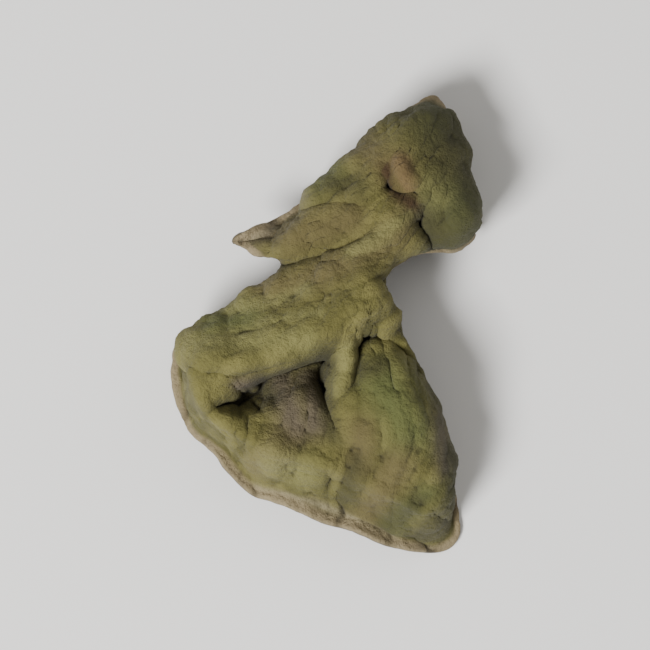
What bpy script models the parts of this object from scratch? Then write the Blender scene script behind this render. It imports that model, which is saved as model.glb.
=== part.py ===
"""Wood ear mushroom: one dried ear, a thin crumpled cap lying with its felted face up.

The ear is a single grown sheet.  Its margin, the curl of the margin and the folds of its
upper face are laid down as curves, in millimetres.  A grid cage is spread over the upper
face, its border is extruded ring by ring into the curled skirt, Solidify gives it the
thickness of dried flesh, and a floor block cuts the small flats that it rests on.
Metres, +Z up, origin at the bottom centre.
"""
import bmesh
import bpy
import numpy as np

MM = 0.001
CELLS_ACROSS = 24
CELLS_ALONG = 40
SKIRT_ROWS = 9
FLESH_THICKNESS = 0.76
MARGIN_THICKNESS = 0.52
FLAT_HEIGHT = 0.30

# Height of the upper face over the resting surface before its folds, and depth of its hollow.
PLATEAU = 6.4
HOLLOW_DEPTH = 2.6

# Length of the thin lip at the end of the skirt.
LIP = 1.3

# The margin points that the four corners of the upper face's grid look towards.
CORNERS = {"low left": 25, "low right": 33, "high right": 8, "high left": 11}

# Margin seen from above, round the ear: margin x, y, the shoulder x, y that it hangs from,
# the angle that the skirt turns down there, the angle that its lip turns back up, rim height.
MARGIN = (
    (2.6, -0.1, 1.4, -0.2, 90.0, 0.0, 5.2),
    (2.2, 0.9, 1.2, 0.8, 88.0, 0.0, 5.2),
    (3.0, 2.0, 2.0, 2.4, 88.0, 10.0, 4.8),
    (4.9, 3.1, 4.2, 3.8, 88.0, 15.0, 3.8),
    (7.1, 3.4, 6.2, 4.7, 86.0, 30.0, 2.4),
    (8.4, 4.4, 7.0, 5.5, 92.0, 25.0, 0.8),
    (8.2, 7.2, 6.7, 7.4, 100.0, 0.0, -0.8),
    (7.6, 9.8, 6.0, 9.4, 98.0, 0.0, -0.2),
    (6.9, 12.0, 5.3, 11.0, 92.0, 5.0, 1.2),
    (5.7, 13.5, 4.9, 11.8, 72.0, 30.0, 2.4),
    (4.5, 12.6, 4.1, 11.2, 80.0, 15.0, 2.6),
    (2.5, 10.9, 3.1, 9.6, 96.0, -5.0, 2.2),
    (0.3, 9.1, 1.6, 7.9, 102.0, -10.0, 1.8),
    (-2.2, 6.8, -0.7, 5.8, 94.0, 5.0, 2.2),
    (-4.2, 5.4, -2.6, 4.5, 66.0, 45.0, 3.8),
    (-6.1, 4.6, -3.3, 3.9, 46.0, 55.0, 4.8),
    (-7.3, 3.8, -3.6, 3.4, 36.0, 55.0, 5.2),
    (-5.9, 3.3, -3.5, 2.9, 56.0, 45.0, 5.0),
    (-4.3, 3.0, -3.1, 2.4, 86.0, 15.0, 4.8),
    (-3.9, 2.0, -2.8, 1.6, 90.0, 0.0, 4.6),
    (-5.5, 0.8, -4.2, -0.4, 92.0, 0.0, 3.4),
    (-7.4, -0.3, -6.4, -1.9, 98.0, -5.0, 2.0),
    (-9.4, -1.2, -8.2, -3.0, 100.0, -5.0, 1.2),
    (-10.7, -2.6, -9.0, -3.6, 92.0, 20.0, 0.4),
    (-11.3, -4.8, -9.3, -4.8, 80.0, 40.0, -0.7),
    (-10.9, -6.8, -9.1, -6.2, 72.0, 45.0, -0.4),
    (-9.6, -8.9, -8.1, -7.4, 60.0, 58.0, 1.8),
    (-7.8, -10.8, -6.5, -8.4, 50.0, 60.0, 3.0),
    (-6.0, -12.6, -4.9, -9.4, 46.0, 64.0, 3.7),
    (-3.6, -13.2, -2.8, -9.9, 44.0, 64.0, 3.8),
    (-0.8, -14.5, -0.6, -10.6, 46.0, 64.0, 3.4),
    (1.9, -15.7, 1.6, -11.5, 50.0, 62.0, 2.6),
    (4.4, -16.2, 3.4, -12.7, 56.0, 60.0, 1.6),
    (6.6, -16.0, 5.0, -13.5, 66.0, 45.0, -0.6),
    (7.3, -14.2, 5.6, -12.9, 82.0, 25.0, -0.7),
    (6.9, -11.4, 5.3, -11.0, 92.0, 5.0, 1.6),
    (6.3, -8.6, 4.7, -8.2, 102.0, -10.0, 2.8),
    (5.7, -6.3, 4.2, -6.0, 104.0, -15.0, 3.6),
    (4.8, -4.5, 3.5, -4.0, 98.0, -5.0, 4.2),
    (3.8, -2.8, 2.6, -2.4, 94.0, 0.0, 4.8),
    (3.1, -1.4, 1.9, -1.2, 92.0, 0.0, 5.2),
)

# Folds of the upper face: their line seen from above, rise, half width, then places along
# the line from 0 to 1 and the share of the rise there.  Creases have a rise below zero.
BAND_LINE = (
    (1.8, 0.4), (-0.4, -0.6), (-3.0, -1.5), (-5.9, -2.6),
    (-8.7, -3.6), (-9.6, -7.2), (-7.8, -9.8), (-4.8, -11.2),
)
FOLDS = {
    "band": (BAND_LINE, 2.3, 2.0, (0, 0.5, 0.62, 1), (1, 1, 0.75, 0.45)),
    "upper lobe": (((6.4, 13.0), (4.6, 9.0), (2.0, 5.0), (0.0, 1.2)), 1.6, 3.0, (0, 1), (1, 0.6)),
    "neck": (((4.8, 6.0), (3.2, 4.5), (1.4, 3.0), (-1.0, 1.8)), 0.6, 0.9, (0, 0.3, 1), (0.4, 1, 0)),
    "band lip": (
        ((-8.6, -5.3), (-7.0, -5.0), (-5.0, -4.2), (-3.4, -3.4)),
        0.35, 0.7, (0, 0.4, 0.8, 1), (0, 1, 1, 0.2),
    ),
    "band crease": (
        ((-9.8, -3.9), (-7.6, -4.1), (-5.6, -3.5), (-3.8, -2.8)),
        -0.4, 0.6, (0, 0.3, 0.7, 1), (0.3, 1, 0.8, 0),
    ),
    "tongue": (
        ((0.2, -1.4), (0.0, -3.6), (-0.3, -5.2), (0.3, -6.4), (0.8, -8.0)),
        1.4, 0.5, (0, 0.3, 0.7, 1), (0.2, 1, 0.8, 0),
    ),
    "tongue crease": (
        ((-0.9, -2.8), (-1.0, -4.6), (-0.8, -6.2), (-0.2, -8.2)),
        -1.5, 0.6, (0, 0.3, 0.7, 1), (1, 1, 0.9, 0),
    ),
    "arch crease": (
        ((0.7, -2.9), (1.8, -2.5), (3.2, -2.8), (4.5, -4.1), (5.4, -5.6), (5.8, -7.2)),
        -1.7, 0.8, (0, 0.2, 0.7, 1), (0.8, 1, 0.8, 0.1),
    ),
    "lobe crease": (
        ((-3.8, 2.0), (-1.8, 2.4), (0.2, 3.4), (1.9, 4.7)),
        -1.3, 0.6, (0, 0.2, 0.5, 1), (0.3, 1, 0.9, 0),
    ),
    "leaf crease": (
        ((-4.2, 3.8), (-3.6, 4.9), (-2.2, 5.8), (-0.4, 6.3), (1.4, 6.2), (2.6, 6.5)),
        -0.7, 0.6, (0, 0.3, 0.8, 1), (1, 1, 0.6, 0),
    ),
    "corner crease": (
        ((5.0, 6.2), (5.1, 4.9), (5.9, 3.6), (6.4, 2.6)),
        -1.3, 0.6, (0, 0.4, 1), (0, 1, 1),
    ),
    "low crease": (((1.4, -9.8), (0.5, -10.8), (0.1, -11.8)), -0.8, 0.7, (0, 0.5, 1), (0, 1, 0)),
    "right crease": (((5.6, -11.9), (4.4, -13.1), (3.0, -14.2)), -0.9, 0.65, (0, 0.5, 1), (0.2, 1, 0.2)),
    "left groove": (((-9.9, -2.6), (-10.0, -4.6), (-9.8, -7.0)), -0.7, 0.6, (0, 0.5, 1), (0.3, 1, 0.2)),
    "scar bump": (((3.6, 8.6), (4.1, 7.5)), 0.5, 0.6, (0, 1), (1, 1)),
    "scar edge": (
        ((2.8, 8.4), (2.9, 7.4), (3.4, 6.7), (4.3, 6.5)),
        -0.8, 0.55, (0, 0.5, 1), (0.1, 1, 0.2),
    ),
}

# Low swellings of the upper face: x, y, rise, half width.
LUMPS = (
    (3.3, -7.2, 1.8, 3.1),
    (7.4, 4.9, 0.7, 1.1),
    (-4.8, -10.4, 0.5, 1.3),
    (-1.7, -10.9, 0.6, 1.2),
    (1.1, -8.6, 0.4, 0.9),
    (1.9, -13.4, 0.5, 1.1),
    (0.2, 7.3, -0.4, 0.8),
    (6.6, 13.4, -2.4, 3.2),
)

# Upper edge of the hollow, from its left corner, and the side that closes it on the right.
HOLLOW_EDGE = (
    (-9.0, -6.5), (-7.6, -6.0), (-6.0, -5.4), (-4.9, -4.5),
    (-3.6, -3.7), (-2.4, -3.2), (-1.0, -2.7),
)
HOLLOW_SIDE = ((-0.7, -2.0), (-0.6, -4.6), (-0.4, -6.6), (0.0, -9.2))


def bell(distance, width):
    """Height 1 on the line, fading to 0 over the width."""
    return np.exp(-((distance / width) ** 2))


def lattice_noise(points, seed, scale):
    """Smooth waves from -1 to 1 over points in space, the same each run."""
    table = np.random.default_rng(seed).uniform(-1.0, 1.0, (32, 32, 32))
    spot = points / scale
    low = np.floor(spot).astype(int)
    part = spot - low
    part = part ** 3 * (part * (6.0 * part - 15.0) + 10.0)
    total = np.zeros(points.shape[:-1])
    for corner in np.ndindex(2, 2, 2):
        weight = np.prod(np.where(corner, part, 1.0 - part), axis=-1)
        at = (low + corner) % 32
        total += weight * table[at[..., 0], at[..., 1], at[..., 2]]
    return total


def rounded(points, steps=6):
    """A line through the points with its corners rounded."""
    line = np.array(points, dtype=float)
    line = np.vstack([2 * line[0] - line[1], line, 2 * line[-1] - line[-2]])
    share = np.linspace(0.0, 1.0, steps, endpoint=False)[:, None]
    pieces = []
    for a, b, c, d in zip(line, line[1:], line[2:], line[3:]):
        straight = 2 * b + (c - a) * share
        bent = (2 * a - 5 * b + 4 * c - d) * share ** 2 + (3 * b - a - 3 * c + d) * share ** 3
        pieces.append(0.5 * (straight + bent))
    pieces.append(line[-2:-1])
    return np.vstack(pieces)


def along(plan, points):
    """Distance to a line, place along it from 0 to 1, and which side of it, for each plan point."""
    line = rounded(points)
    lengths = np.linalg.norm(np.diff(line, axis=0), axis=1)
    start = np.concatenate([[0.0], np.cumsum(lengths)])
    distance = np.full(plan.shape[:-1], 1e9)
    place = np.zeros(plan.shape[:-1])
    side = np.zeros(plan.shape[:-1])
    for number, (a, b) in enumerate(zip(line, line[1:])):
        way = b - a
        from_a = plan - a
        share = np.clip((from_a @ way) / (way @ way), 0.0, 1.0)
        off = from_a - share[..., None] * way
        reach = np.hypot(off[..., 0], off[..., 1])
        nearer = reach < distance
        distance = np.where(nearer, reach, distance)
        place = np.where(nearer, (start[number] + share * lengths[number]) / start[-1], place)
        side = np.where(nearer, np.sign(way[0] * from_a[..., 1] - way[1] * from_a[..., 0]), side)
    return distance, place, side


def ramp(values, low, high):
    """Smooth step from 0 at low to 1 at high."""
    share = np.clip((values - low) / (high - low), 0.0, 1.0)
    return share * share * (3.0 - 2.0 * share)


def bent(plan):
    """Plan points moved by slow and quick waves, so that no fold is drawn quite smooth."""
    flat = np.concatenate([plan, np.zeros(plan.shape[:-1] + (1,))], axis=-1)
    waves = []
    for seed in (41, 43):
        waves.append(0.38 * lattice_noise(flat, seed, 2.3) + 0.16 * lattice_noise(flat, seed + 1, 0.95))
    return plan + np.stack(waves, axis=-1)


def pit(plan):
    """Share of the hollow's depth: full below its upper edge, fading downwards and at its ends."""
    distance, place, side = along(plan, HOLLOW_EDGE)
    below = -side * distance
    reach = np.interp(place, (0.0, 0.2, 1.0), (1.6, 2.2, 5.4))
    share = ramp(below, -0.4, 0.7) * (1.0 - ramp(below / reach, 0.1, 0.95))
    distance, _, side = along(plan, HOLLOW_SIDE)
    return share * ramp(-side * distance, -0.5, 0.6) * ramp(place, 0.0, 0.16)


def relief(plan):
    """Height of the upper face over the resting surface."""
    spot = bent(plan)
    height = np.full(plan.shape[:-1], PLATEAU)
    for line, rise, width, places, shares in FOLDS.values():
        distance, place, _ = along(spot, line)
        height += rise * bell(distance, width) * np.interp(place, places, shares)
    for x, y, rise, width in LUMPS:
        height += rise * bell(np.hypot(spot[..., 0] - x, 0.8 * (spot[..., 1] - y)), width)
    return height - HOLLOW_DEPTH * pit(spot)


def softened(ring, times):
    """A closed ring of values or points with its corners softened."""
    for _ in range(times):
        ring = (np.roll(ring, 1, axis=0) + 2 * ring + np.roll(ring, -1, axis=0)) / 4
    return ring


def evenly(ring, places):
    """A closed ring resampled at even steps of its length, and the share of the length at each row."""
    closed = np.vstack([ring, ring[:1]])
    lengths = np.linalg.norm(np.diff(closed[:, :2], axis=0), axis=1)
    share = np.concatenate([[0.0], np.cumsum(lengths)]) / lengths.sum()
    at = np.arange(places) / places
    even = np.stack([np.interp(at, share, column) for column in closed.T], axis=-1)
    return even, share[:-1]


class Skirt:
    """The curled margin: a ring of profiles that run outward and down from the shoulder."""

    PLACES = 960
    STEPS = 72

    def __init__(self):
        margin = np.array(MARGIN)
        closed = np.vstack([margin[-1:], margin, margin[:2]])
        ring, share = evenly(rounded(closed, 12)[12:-13], self.PLACES)
        self.corners = {name: share[12 * number] for name, number in CORNERS.items()}
        ring = softened(ring, 30)
        self.shoulder = softened(ring[:, 2:4], 60)
        way = ring[:, :2] - self.shoulder
        reach = np.linalg.norm(way, axis=1)
        way = softened(way / reach[:, None], 20)
        self.outward = way / np.linalg.norm(way, axis=1)[:, None]
        self.draw_profiles(reach, np.radians(ring[:, 4]), np.radians(ring[:, 5]), ring[:, 6])

    def draw_profiles(self, reach, turn, lip, rim):
        """Tables of how far out and down each profile has run: an arc, a straight, then the lip."""
        self.top = relief(self.shoulder)
        fall = np.maximum(self.top - rim, 0.6)
        lip_fall = LIP * np.sin(turn - lip / 2)
        lip_reach = LIP * np.cos(turn - lip / 2)
        slope = np.tan(np.minimum(turn, np.pi / 2 - 0.02))
        left_over = reach - (fall - lip_fall) / slope - lip_reach
        curl = left_over / np.tan(np.minimum(turn, np.pi / 2) / 2)
        curl = np.clip(curl, 0.5, 0.9 * fall / (1 - np.cos(turn)))
        straight = np.maximum(0.0, (fall - curl * (1 - np.cos(turn)) - lip_fall) / np.sin(turn))
        whole = (curl * turn + straight + LIP)[:, None]
        run = np.linspace(0.0, 1.0, self.STEPS)[None, :] * whole
        slant = np.minimum(run / curl[:, None], turn[:, None])
        slant = slant - lip[:, None] * ramp(run - whole, -2 * LIP, 0.0)
        self.out = self.summed(np.cos(slant)) * whole
        self.out *= (reach / self.out.max(axis=1))[:, None]
        self.drop = self.summed(np.sin(slant)) * whole
        self.drop *= (fall / self.drop[:, -1])[:, None]

    def summed(self, slope):
        """Running total of a slope along each profile."""
        steps = (slope[:, 1:] + slope[:, :-1]) / 2 / (self.STEPS - 1)
        return np.concatenate([np.zeros((len(slope), 1)), np.cumsum(steps, axis=1)], axis=1)

    def read(self, table, place, row):
        """The value of a table of profiles at each place round the ear and row down the skirt."""
        if table.ndim == 1:
            table = np.repeat(table[:, None], 2, axis=1)
        across = (place * self.PLACES) % self.PLACES
        i = np.floor(across).astype(int) % self.PLACES
        next_i = (i + 1) % self.PLACES
        a = across - np.floor(across)
        down = np.clip(row, 0.0, 1.0) * (table.shape[1] - 1)
        j = np.clip(np.floor(down).astype(int), 0, table.shape[1] - 2)
        b = down - j
        near = (1 - b) * table[i, j] + b * table[i, j + 1]
        far = (1 - b) * table[next_i, j] + b * table[next_i, j + 1]
        return (1 - a) * near + a * far

    def border(self):
        """Places round the ear of the upper face's border nodes, from its low left corner."""
        names = ("low left", "low right", "high right", "high left", "low left")
        stops = np.array([self.corners[name] for name in names])
        stops = np.unwrap(stops * 2 * np.pi) / (2 * np.pi)
        counts = (CELLS_ACROSS, CELLS_ALONG, CELLS_ACROSS, CELLS_ALONG)
        sides = zip(stops, stops[1:], counts)
        return np.concatenate([np.linspace(a, b, count, endpoint=False) for a, b, count in sides])

    def surface(self, place, row):
        """Points of the skirt's middle at places round the ear and rows down the skirt."""
        way = np.stack([self.read(self.outward[:, axis], place, row) for axis in (0, 1)], axis=-1)
        start = np.stack([self.read(self.shoulder[:, axis], place, row) for axis in (0, 1)], axis=-1)
        out = self.read(self.out, place, row)
        drop = self.read(self.drop, place, row)
        top = self.read(self.top, place, row)
        angle = 2 * np.pi * place
        ring = np.stack([4.0 * np.cos(angle), 4.0 * np.sin(angle), 0.6 * row], axis=-1)
        ruffle = 0.35 * lattice_noise(ring, 5, 1.0) + 0.16 * lattice_noise(ring, 6, 0.43)
        free = np.clip((np.linalg.norm(start, axis=-1) - 2.0) / 4.0, 0.0, 1.0)
        plan = start + way * (out + free * ruffle * row ** 1.3)[..., None]
        height = top + (relief(plan) - top) * bell(drop, 2.5) - drop
        height = height + 1.0 * free * lattice_noise(ring, 8, 0.67) * row ** 2
        return leaning(plan, height)


def leaning(plan, height):
    """Points in space, with the band pushed over the hollow in front of it."""
    distance, place, _ = along(plan, BAND_LINE)
    lean = 0.9 * bell(distance, 1.9) * np.interp(place, (0, 0.15, 0.45, 0.58), (0, 1, 1, 0))
    return np.stack([plan[..., 0] + 0.35 * lean, plan[..., 1] - lean, height], axis=-1)


def spread_inside(border, rounds=900):
    """A smooth grid of plan points inside a border: no cell folds even where the ear is waisted."""
    low = border[:CELLS_ACROSS + 1]
    right = border[CELLS_ACROSS:CELLS_ACROSS + CELLS_ALONG + 1]
    high = border[CELLS_ACROSS + CELLS_ALONG:2 * CELLS_ACROSS + CELLS_ALONG + 1][::-1]
    left = np.vstack([border[2 * CELLS_ACROSS + CELLS_ALONG:], border[:1]])[::-1]
    u = np.linspace(0.0, 1.0, CELLS_ACROSS + 1)[:, None, None]
    v = np.linspace(0.0, 1.0, CELLS_ALONG + 1)[None, :, None]
    sides = (1 - v) * low[:, None] + v * high[:, None] + (1 - u) * left[None] + u * right[None]
    ends = (1 - u) * (1 - v) * low[0] + u * (1 - v) * low[-1] + (1 - u) * v * high[0] + u * v * high[-1]
    grid = sides - ends
    for _ in range(rounds):
        by_u = (grid[2:, 1:-1] - grid[:-2, 1:-1]) / 2
        by_v = (grid[1:-1, 2:] - grid[1:-1, :-2]) / 2
        a = (by_v ** 2).sum(axis=-1)[..., None]
        b = (by_u * by_v).sum(axis=-1)[..., None]
        c = (by_u ** 2).sum(axis=-1)[..., None]
        mixed = (grid[2:, 2:] - grid[2:, :-2] - grid[:-2, 2:] + grid[:-2, :-2]) / 4
        pull = a * (grid[2:, 1:-1] + grid[:-2, 1:-1]) + c * (grid[1:-1, 2:] + grid[1:-1, :-2])
        pull = pull - 2 * b * mixed
        grid[1:-1, 1:-1] = 0.2 * grid[1:-1, 1:-1] + 0.8 * pull / (2 * (a + c))
    return grid


def new_collection(name):
    """A collection linked to the scene."""
    collection = bpy.data.collections.new(name)
    bpy.context.scene.collection.children.link(collection)
    return collection


def flesh_material():
    """Felted olive-brown flesh of the dried ear."""
    material = bpy.data.materials.new("dried_flesh")
    material.use_nodes = True
    shader = material.node_tree.nodes["Principled BSDF"]
    shader.inputs["Base Color"].default_value = (0.19, 0.18, 0.08, 1.0)
    shader.inputs["Roughness"].default_value = 0.8
    return material


def make_cage():
    """The sheet's middle: a grid for the upper face, its border extruded into the skirt."""
    skirt = Skirt()
    border = skirt.border()
    zero = np.zeros(len(border))
    edge = np.stack([skirt.read(skirt.shoulder[:, axis], border, zero) for axis in (0, 1)], axis=-1)
    plan = spread_inside(edge)
    face = leaning(plan, relief(plan))
    cage = bmesh.new()
    bmesh.ops.create_grid(cage, x_segments=CELLS_ACROSS, y_segments=CELLS_ALONG, size=1.0)
    column = cage.verts.layers.int.new("column")
    outness = cage.verts.layers.float.new("outness")
    steps = [(i, 0) for i in range(CELLS_ACROSS)]
    steps += [(CELLS_ACROSS, j) for j in range(CELLS_ALONG)]
    steps += [(i, CELLS_ALONG) for i in range(CELLS_ACROSS, 0, -1)]
    steps += [(0, j) for j in range(CELLS_ALONG, 0, -1)]
    number = {step: count for count, step in enumerate(steps)}
    for vertex in cage.verts:
        i = round((vertex.co.x + 1) / 2 * CELLS_ACROSS)
        j = round((vertex.co.y + 1) / 2 * CELLS_ALONG)
        vertex[column] = number.get((i, j), -1)
        vertex.co = face[i, j] * MM
    edges = [edge for edge in cage.edges if edge.is_boundary]
    for row in np.linspace(0.0, 1.0, SKIRT_ROWS + 1)[1:]:
        points = skirt.surface(border, np.full(len(border), row))
        grown = bmesh.ops.extrude_edge_only(cage, edges=edges)["geom"]
        for vertex in grown:
            if isinstance(vertex, bmesh.types.BMVert):
                vertex.co = points[vertex[column]] * MM
                vertex[outness] = row
        edges = [edge for edge in grown if isinstance(edge, bmesh.types.BMEdge) and edge.is_boundary]
    return cage


def make_ear(collection):
    """The cage with its shallow drying puckers, and its thickness on a Solidify modifier."""
    cage = make_cage()
    cage.normal_update()
    places = np.array([vertex.co[:] for vertex in cage.verts]) / MM
    normals = np.array([vertex.normal[:] for vertex in cage.verts])
    outness = np.array([vertex[cage.verts.layers.float["outness"]] for vertex in cage.verts])
    pucker = 0.22 * lattice_noise(places, 21, 2.6) + 0.10 * lattice_noise(places, 22, 1.4)
    places = places + normals * (pucker * (0.4 + 0.6 * outness))[:, None]
    for vertex, place in zip(cage.verts, places):
        vertex.co = place * MM
    mesh = bpy.data.meshes.new("ear")
    cage.to_mesh(mesh)
    cage.free()
    ear = bpy.data.objects.new("ear", mesh)
    collection.objects.link(ear)
    mesh.materials.append(flesh_material())
    group = ear.vertex_groups.new(name="thickness")
    thickness = FLESH_THICKNESS + (MARGIN_THICKNESS - FLESH_THICKNESS) * outness ** 2
    for number, share in enumerate(thickness / FLESH_THICKNESS):
        group.add([number], float(share), "REPLACE")
    ease = ear.modifiers.new("eased_folds", "SMOOTH")
    ease.factor = 0.5
    ease.iterations = 4
    solidify = ear.modifiers.new("flesh", "SOLIDIFY")
    solidify.thickness = FLESH_THICKNESS * MM
    solidify.offset = 0.0
    solidify.vertex_group = "thickness"
    solidify.thickness_clamp = 0.75
    return ear


def bounds(thing):
    """Lowest and highest corner of an object with its modifiers."""
    shown = thing.evaluated_get(bpy.context.evaluated_depsgraph_get())
    corners = np.array([vertex.co[:] for vertex in shown.data.vertices])
    return corners.min(axis=0), corners.max(axis=0)


def move(thing, shift):
    """Move an object's mesh and leave its origin where it is."""
    corners = np.array([vertex.co[:] for vertex in thing.data.vertices]) + np.array(shift)
    thing.data.vertices.foreach_set("co", corners.ravel())
    thing.data.update()


def make_floor(collection):
    """The block below the resting surface that cuts the flats."""
    block = bmesh.new()
    bmesh.ops.create_cube(block, size=0.06)
    bmesh.ops.translate(block, verts=block.verts, vec=(0.0, 0.0, -0.03))
    mesh = bpy.data.meshes.new("resting_surface")
    block.to_mesh(mesh)
    block.free()
    floor = bpy.data.objects.new("resting_surface", mesh)
    floor.hide_render = True
    floor.display_type = "WIRE"
    collection.objects.link(floor)
    return floor


def main():
    """Build the ear, cut its flats and centre it."""
    for thing in list(bpy.data.objects):
        bpy.data.objects.remove(thing, do_unlink=True)
    ear = make_ear(new_collection("wood_ear_mushroom"))
    floor = make_floor(new_collection("cutters"))
    move(ear, (0.0, 0.0, -FLAT_HEIGHT * MM))
    flats = ear.modifiers.new("flats", "BOOLEAN")
    flats.operation = "DIFFERENCE"
    flats.solver = "EXACT"
    flats.object = floor
    low, high = bounds(ear)
    move(ear, (-(low[0] + high[0]) / 2, -(low[1] + high[1]) / 2, 0.0))


main()
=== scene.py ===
"""Dressed model of one dried wood ear mushroom, lying with its felted face up.

The ear is one grown sheet: an upper face with folds, spread over a grid, and a curled
skirt round it.  Drying has left wrinkles that run out from the waist to the margin.
Shapes are worked out in millimetres, in the plan frame of the margin's points, and go
into the mesh in metres, centred on the solid that they stand for.
"""
from __future__ import annotations

import logging
from dataclasses import dataclass, field
from enum import Enum
from typing import Union

import bpy
import numpy as np
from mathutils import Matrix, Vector


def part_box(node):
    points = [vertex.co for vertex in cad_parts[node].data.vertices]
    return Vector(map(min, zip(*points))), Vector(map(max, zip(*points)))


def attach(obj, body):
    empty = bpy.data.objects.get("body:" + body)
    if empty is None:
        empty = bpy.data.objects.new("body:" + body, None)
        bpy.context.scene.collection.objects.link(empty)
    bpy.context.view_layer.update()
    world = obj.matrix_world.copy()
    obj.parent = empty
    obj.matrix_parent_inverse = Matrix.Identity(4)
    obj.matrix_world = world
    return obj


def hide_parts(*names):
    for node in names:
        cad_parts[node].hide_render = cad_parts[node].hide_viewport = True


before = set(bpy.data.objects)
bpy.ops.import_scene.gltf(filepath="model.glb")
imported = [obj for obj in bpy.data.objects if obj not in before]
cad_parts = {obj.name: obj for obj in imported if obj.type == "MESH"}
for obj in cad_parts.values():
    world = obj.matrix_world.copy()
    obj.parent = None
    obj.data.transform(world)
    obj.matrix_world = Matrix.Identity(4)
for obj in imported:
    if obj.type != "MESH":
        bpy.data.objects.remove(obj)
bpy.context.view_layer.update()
MM = 0.001
LOG = logging.getLogger("wood_ear")

LATTICE = 32
TINY = 1e-12

Line = tuple[tuple[float, float], ...]
Colour = tuple[float, float, float]
Range = tuple[float, float]


def bell(distance: np.ndarray, width: float) -> np.ndarray:
    """Height 1 on a line, fading to 0 over the width: exp(-(distance / width) squared)."""
    return np.exp(-((distance / width) ** 2))


def valley(distance: np.ndarray, width: float) -> np.ndarray:
    """Height about 1 on a line, with a sharp peak: exp(-1.5 (sqrt((distance / width)^2 + 0.02) - 0.14))."""
    return np.exp(-1.5 * (np.sqrt((distance / width) ** 2 + 0.02) - 0.14))


def ramp(values: np.ndarray, low: float, high: float) -> np.ndarray:
    """Smooth step from 0 at low to 1 at high: 3 t^2 - 2 t^3."""
    share = np.clip((values - low) / (high - low), 0.0, 1.0)
    return share * share * (3.0 - 2.0 * share)


def lattice_noise(points: np.ndarray, seed: int, scale: float) -> np.ndarray:
    """Smooth waves from -1 to 1 over points in space, the same each run.

    Random values on a cubic lattice that repeats, blended between its corners with the
    weights 6 t^5 - 15 t^4 + 10 t^3.

    Args:
        points: Places, with three numbers each along the last axis.
        seed: Picks the lattice.
        scale: Lattice spacing, in the points' unit.

    Returns:
        One value a point.
    """
    table = np.random.default_rng(seed).uniform(-1.0, 1.0, (LATTICE, LATTICE, LATTICE))
    spot = points / scale
    low = np.floor(spot).astype(int)
    part = spot - low
    part = part ** 3 * (part * (6.0 * part - 15.0) + 10.0)
    total = np.zeros(points.shape[:-1])
    for corner in np.ndindex(2, 2, 2):
        weight = np.prod(np.where(corner, part, 1.0 - part), axis=-1)
        at = (low + corner) % LATTICE
        total += weight * table[at[..., 0], at[..., 1], at[..., 2]]
    return total


@dataclass(frozen=True)
class Wave:
    """Irregular waves through space: lattice noise of a spacing in mm, times a size."""

    size: float
    spacing: float
    seed: int

    def at(self, points: np.ndarray) -> np.ndarray:
        """Heights of the waves at points in space."""
        return self.size * lattice_noise(points, self.seed, self.spacing)


def swell(waves: tuple[Wave, ...], points: np.ndarray) -> np.ndarray:
    """Sum of several waves at points in space."""
    return sum(wave.at(points) for wave in waves)


def directions(angle: np.ndarray) -> np.ndarray:
    """Unit plan directions at angles."""
    return np.stack([np.cos(angle), np.sin(angle)], axis=-1)


def on_drum(place: np.ndarray, radius: float, height: np.ndarray) -> np.ndarray:
    """Points on an upright drum, at places from 0 to 1 round it and at heights."""
    angle = 2 * np.pi * place
    return np.stack([radius * np.cos(angle), radius * np.sin(angle), height], axis=-1)


def blended(
    table: np.ndarray, rows: tuple[np.ndarray, np.ndarray], column: np.ndarray, a: np.ndarray, b: np.ndarray
) -> np.ndarray:
    """Values between the entries of a table, linear from row to row and from column to column.

    Args:
        table: Values by row and column.
        rows: The rows before and after each place.
        column: The column before each place.
        a: Share of the way from the first row to the second.
        b: Share of the way from the column to the next.

    Returns:
        One value or row of values a place.
    """
    near, far = ((1 - b) * table[row, column] + b * table[row, column + 1] for row in rows)
    return (1 - a) * near + a * far


def rounded(points: np.ndarray, steps: int = 6) -> np.ndarray:
    """A line through points with its corners rounded, as a Catmull-Rom curve.

    Args:
        points: Rows of the line.
        steps: Rows of the result for each row given.

    Returns:
        The finer rows.
    """
    line = np.array(points, dtype=float)
    line = np.vstack([2 * line[0] - line[1], line, 2 * line[-1] - line[-2]])
    share = np.linspace(0.0, 1.0, steps, endpoint=False)[:, None]
    pieces = []
    for a, b, c, d in zip(line, line[1:], line[2:], line[3:]):
        straight = 2 * b + (c - a) * share
        bent = (2 * a - 5 * b + 4 * c - d) * share ** 2 + (3 * b - a - 3 * c + d) * share ** 3
        pieces.append(0.5 * (straight + bent))
    pieces.append(line[-2:-1])
    return np.vstack(pieces)


def along(plan: np.ndarray, points: Line) -> tuple[np.ndarray, np.ndarray, np.ndarray]:
    """Where plan points lie beside a rounded line.

    Args:
        plan: Points, with two numbers each along the last axis.
        points: The line's points.

    Returns:
        Distance to the line, place along it from 0 to 1, and side: 1 left, -1 right.
    """
    line = rounded(np.array(points))
    lengths = np.linalg.norm(np.diff(line, axis=0), axis=1)
    start = np.concatenate([[0.0], np.cumsum(lengths)])
    distance = np.full(plan.shape[:-1], np.inf)
    place = np.zeros(plan.shape[:-1])
    side = np.zeros(plan.shape[:-1])
    for number, (a, b) in enumerate(zip(line, line[1:])):
        way = b - a
        from_a = plan - a
        share = np.clip((from_a @ way) / (way @ way), 0.0, 1.0)
        off = from_a - share[..., None] * way
        reach = np.hypot(off[..., 0], off[..., 1])
        nearer = reach < distance
        distance = np.where(nearer, reach, distance)
        place = np.where(nearer, (start[number] + share * lengths[number]) / start[-1], place)
        side = np.where(nearer, np.sign(way[0] * from_a[..., 1] - way[1] * from_a[..., 0]), side)
    return distance, place, side


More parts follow.
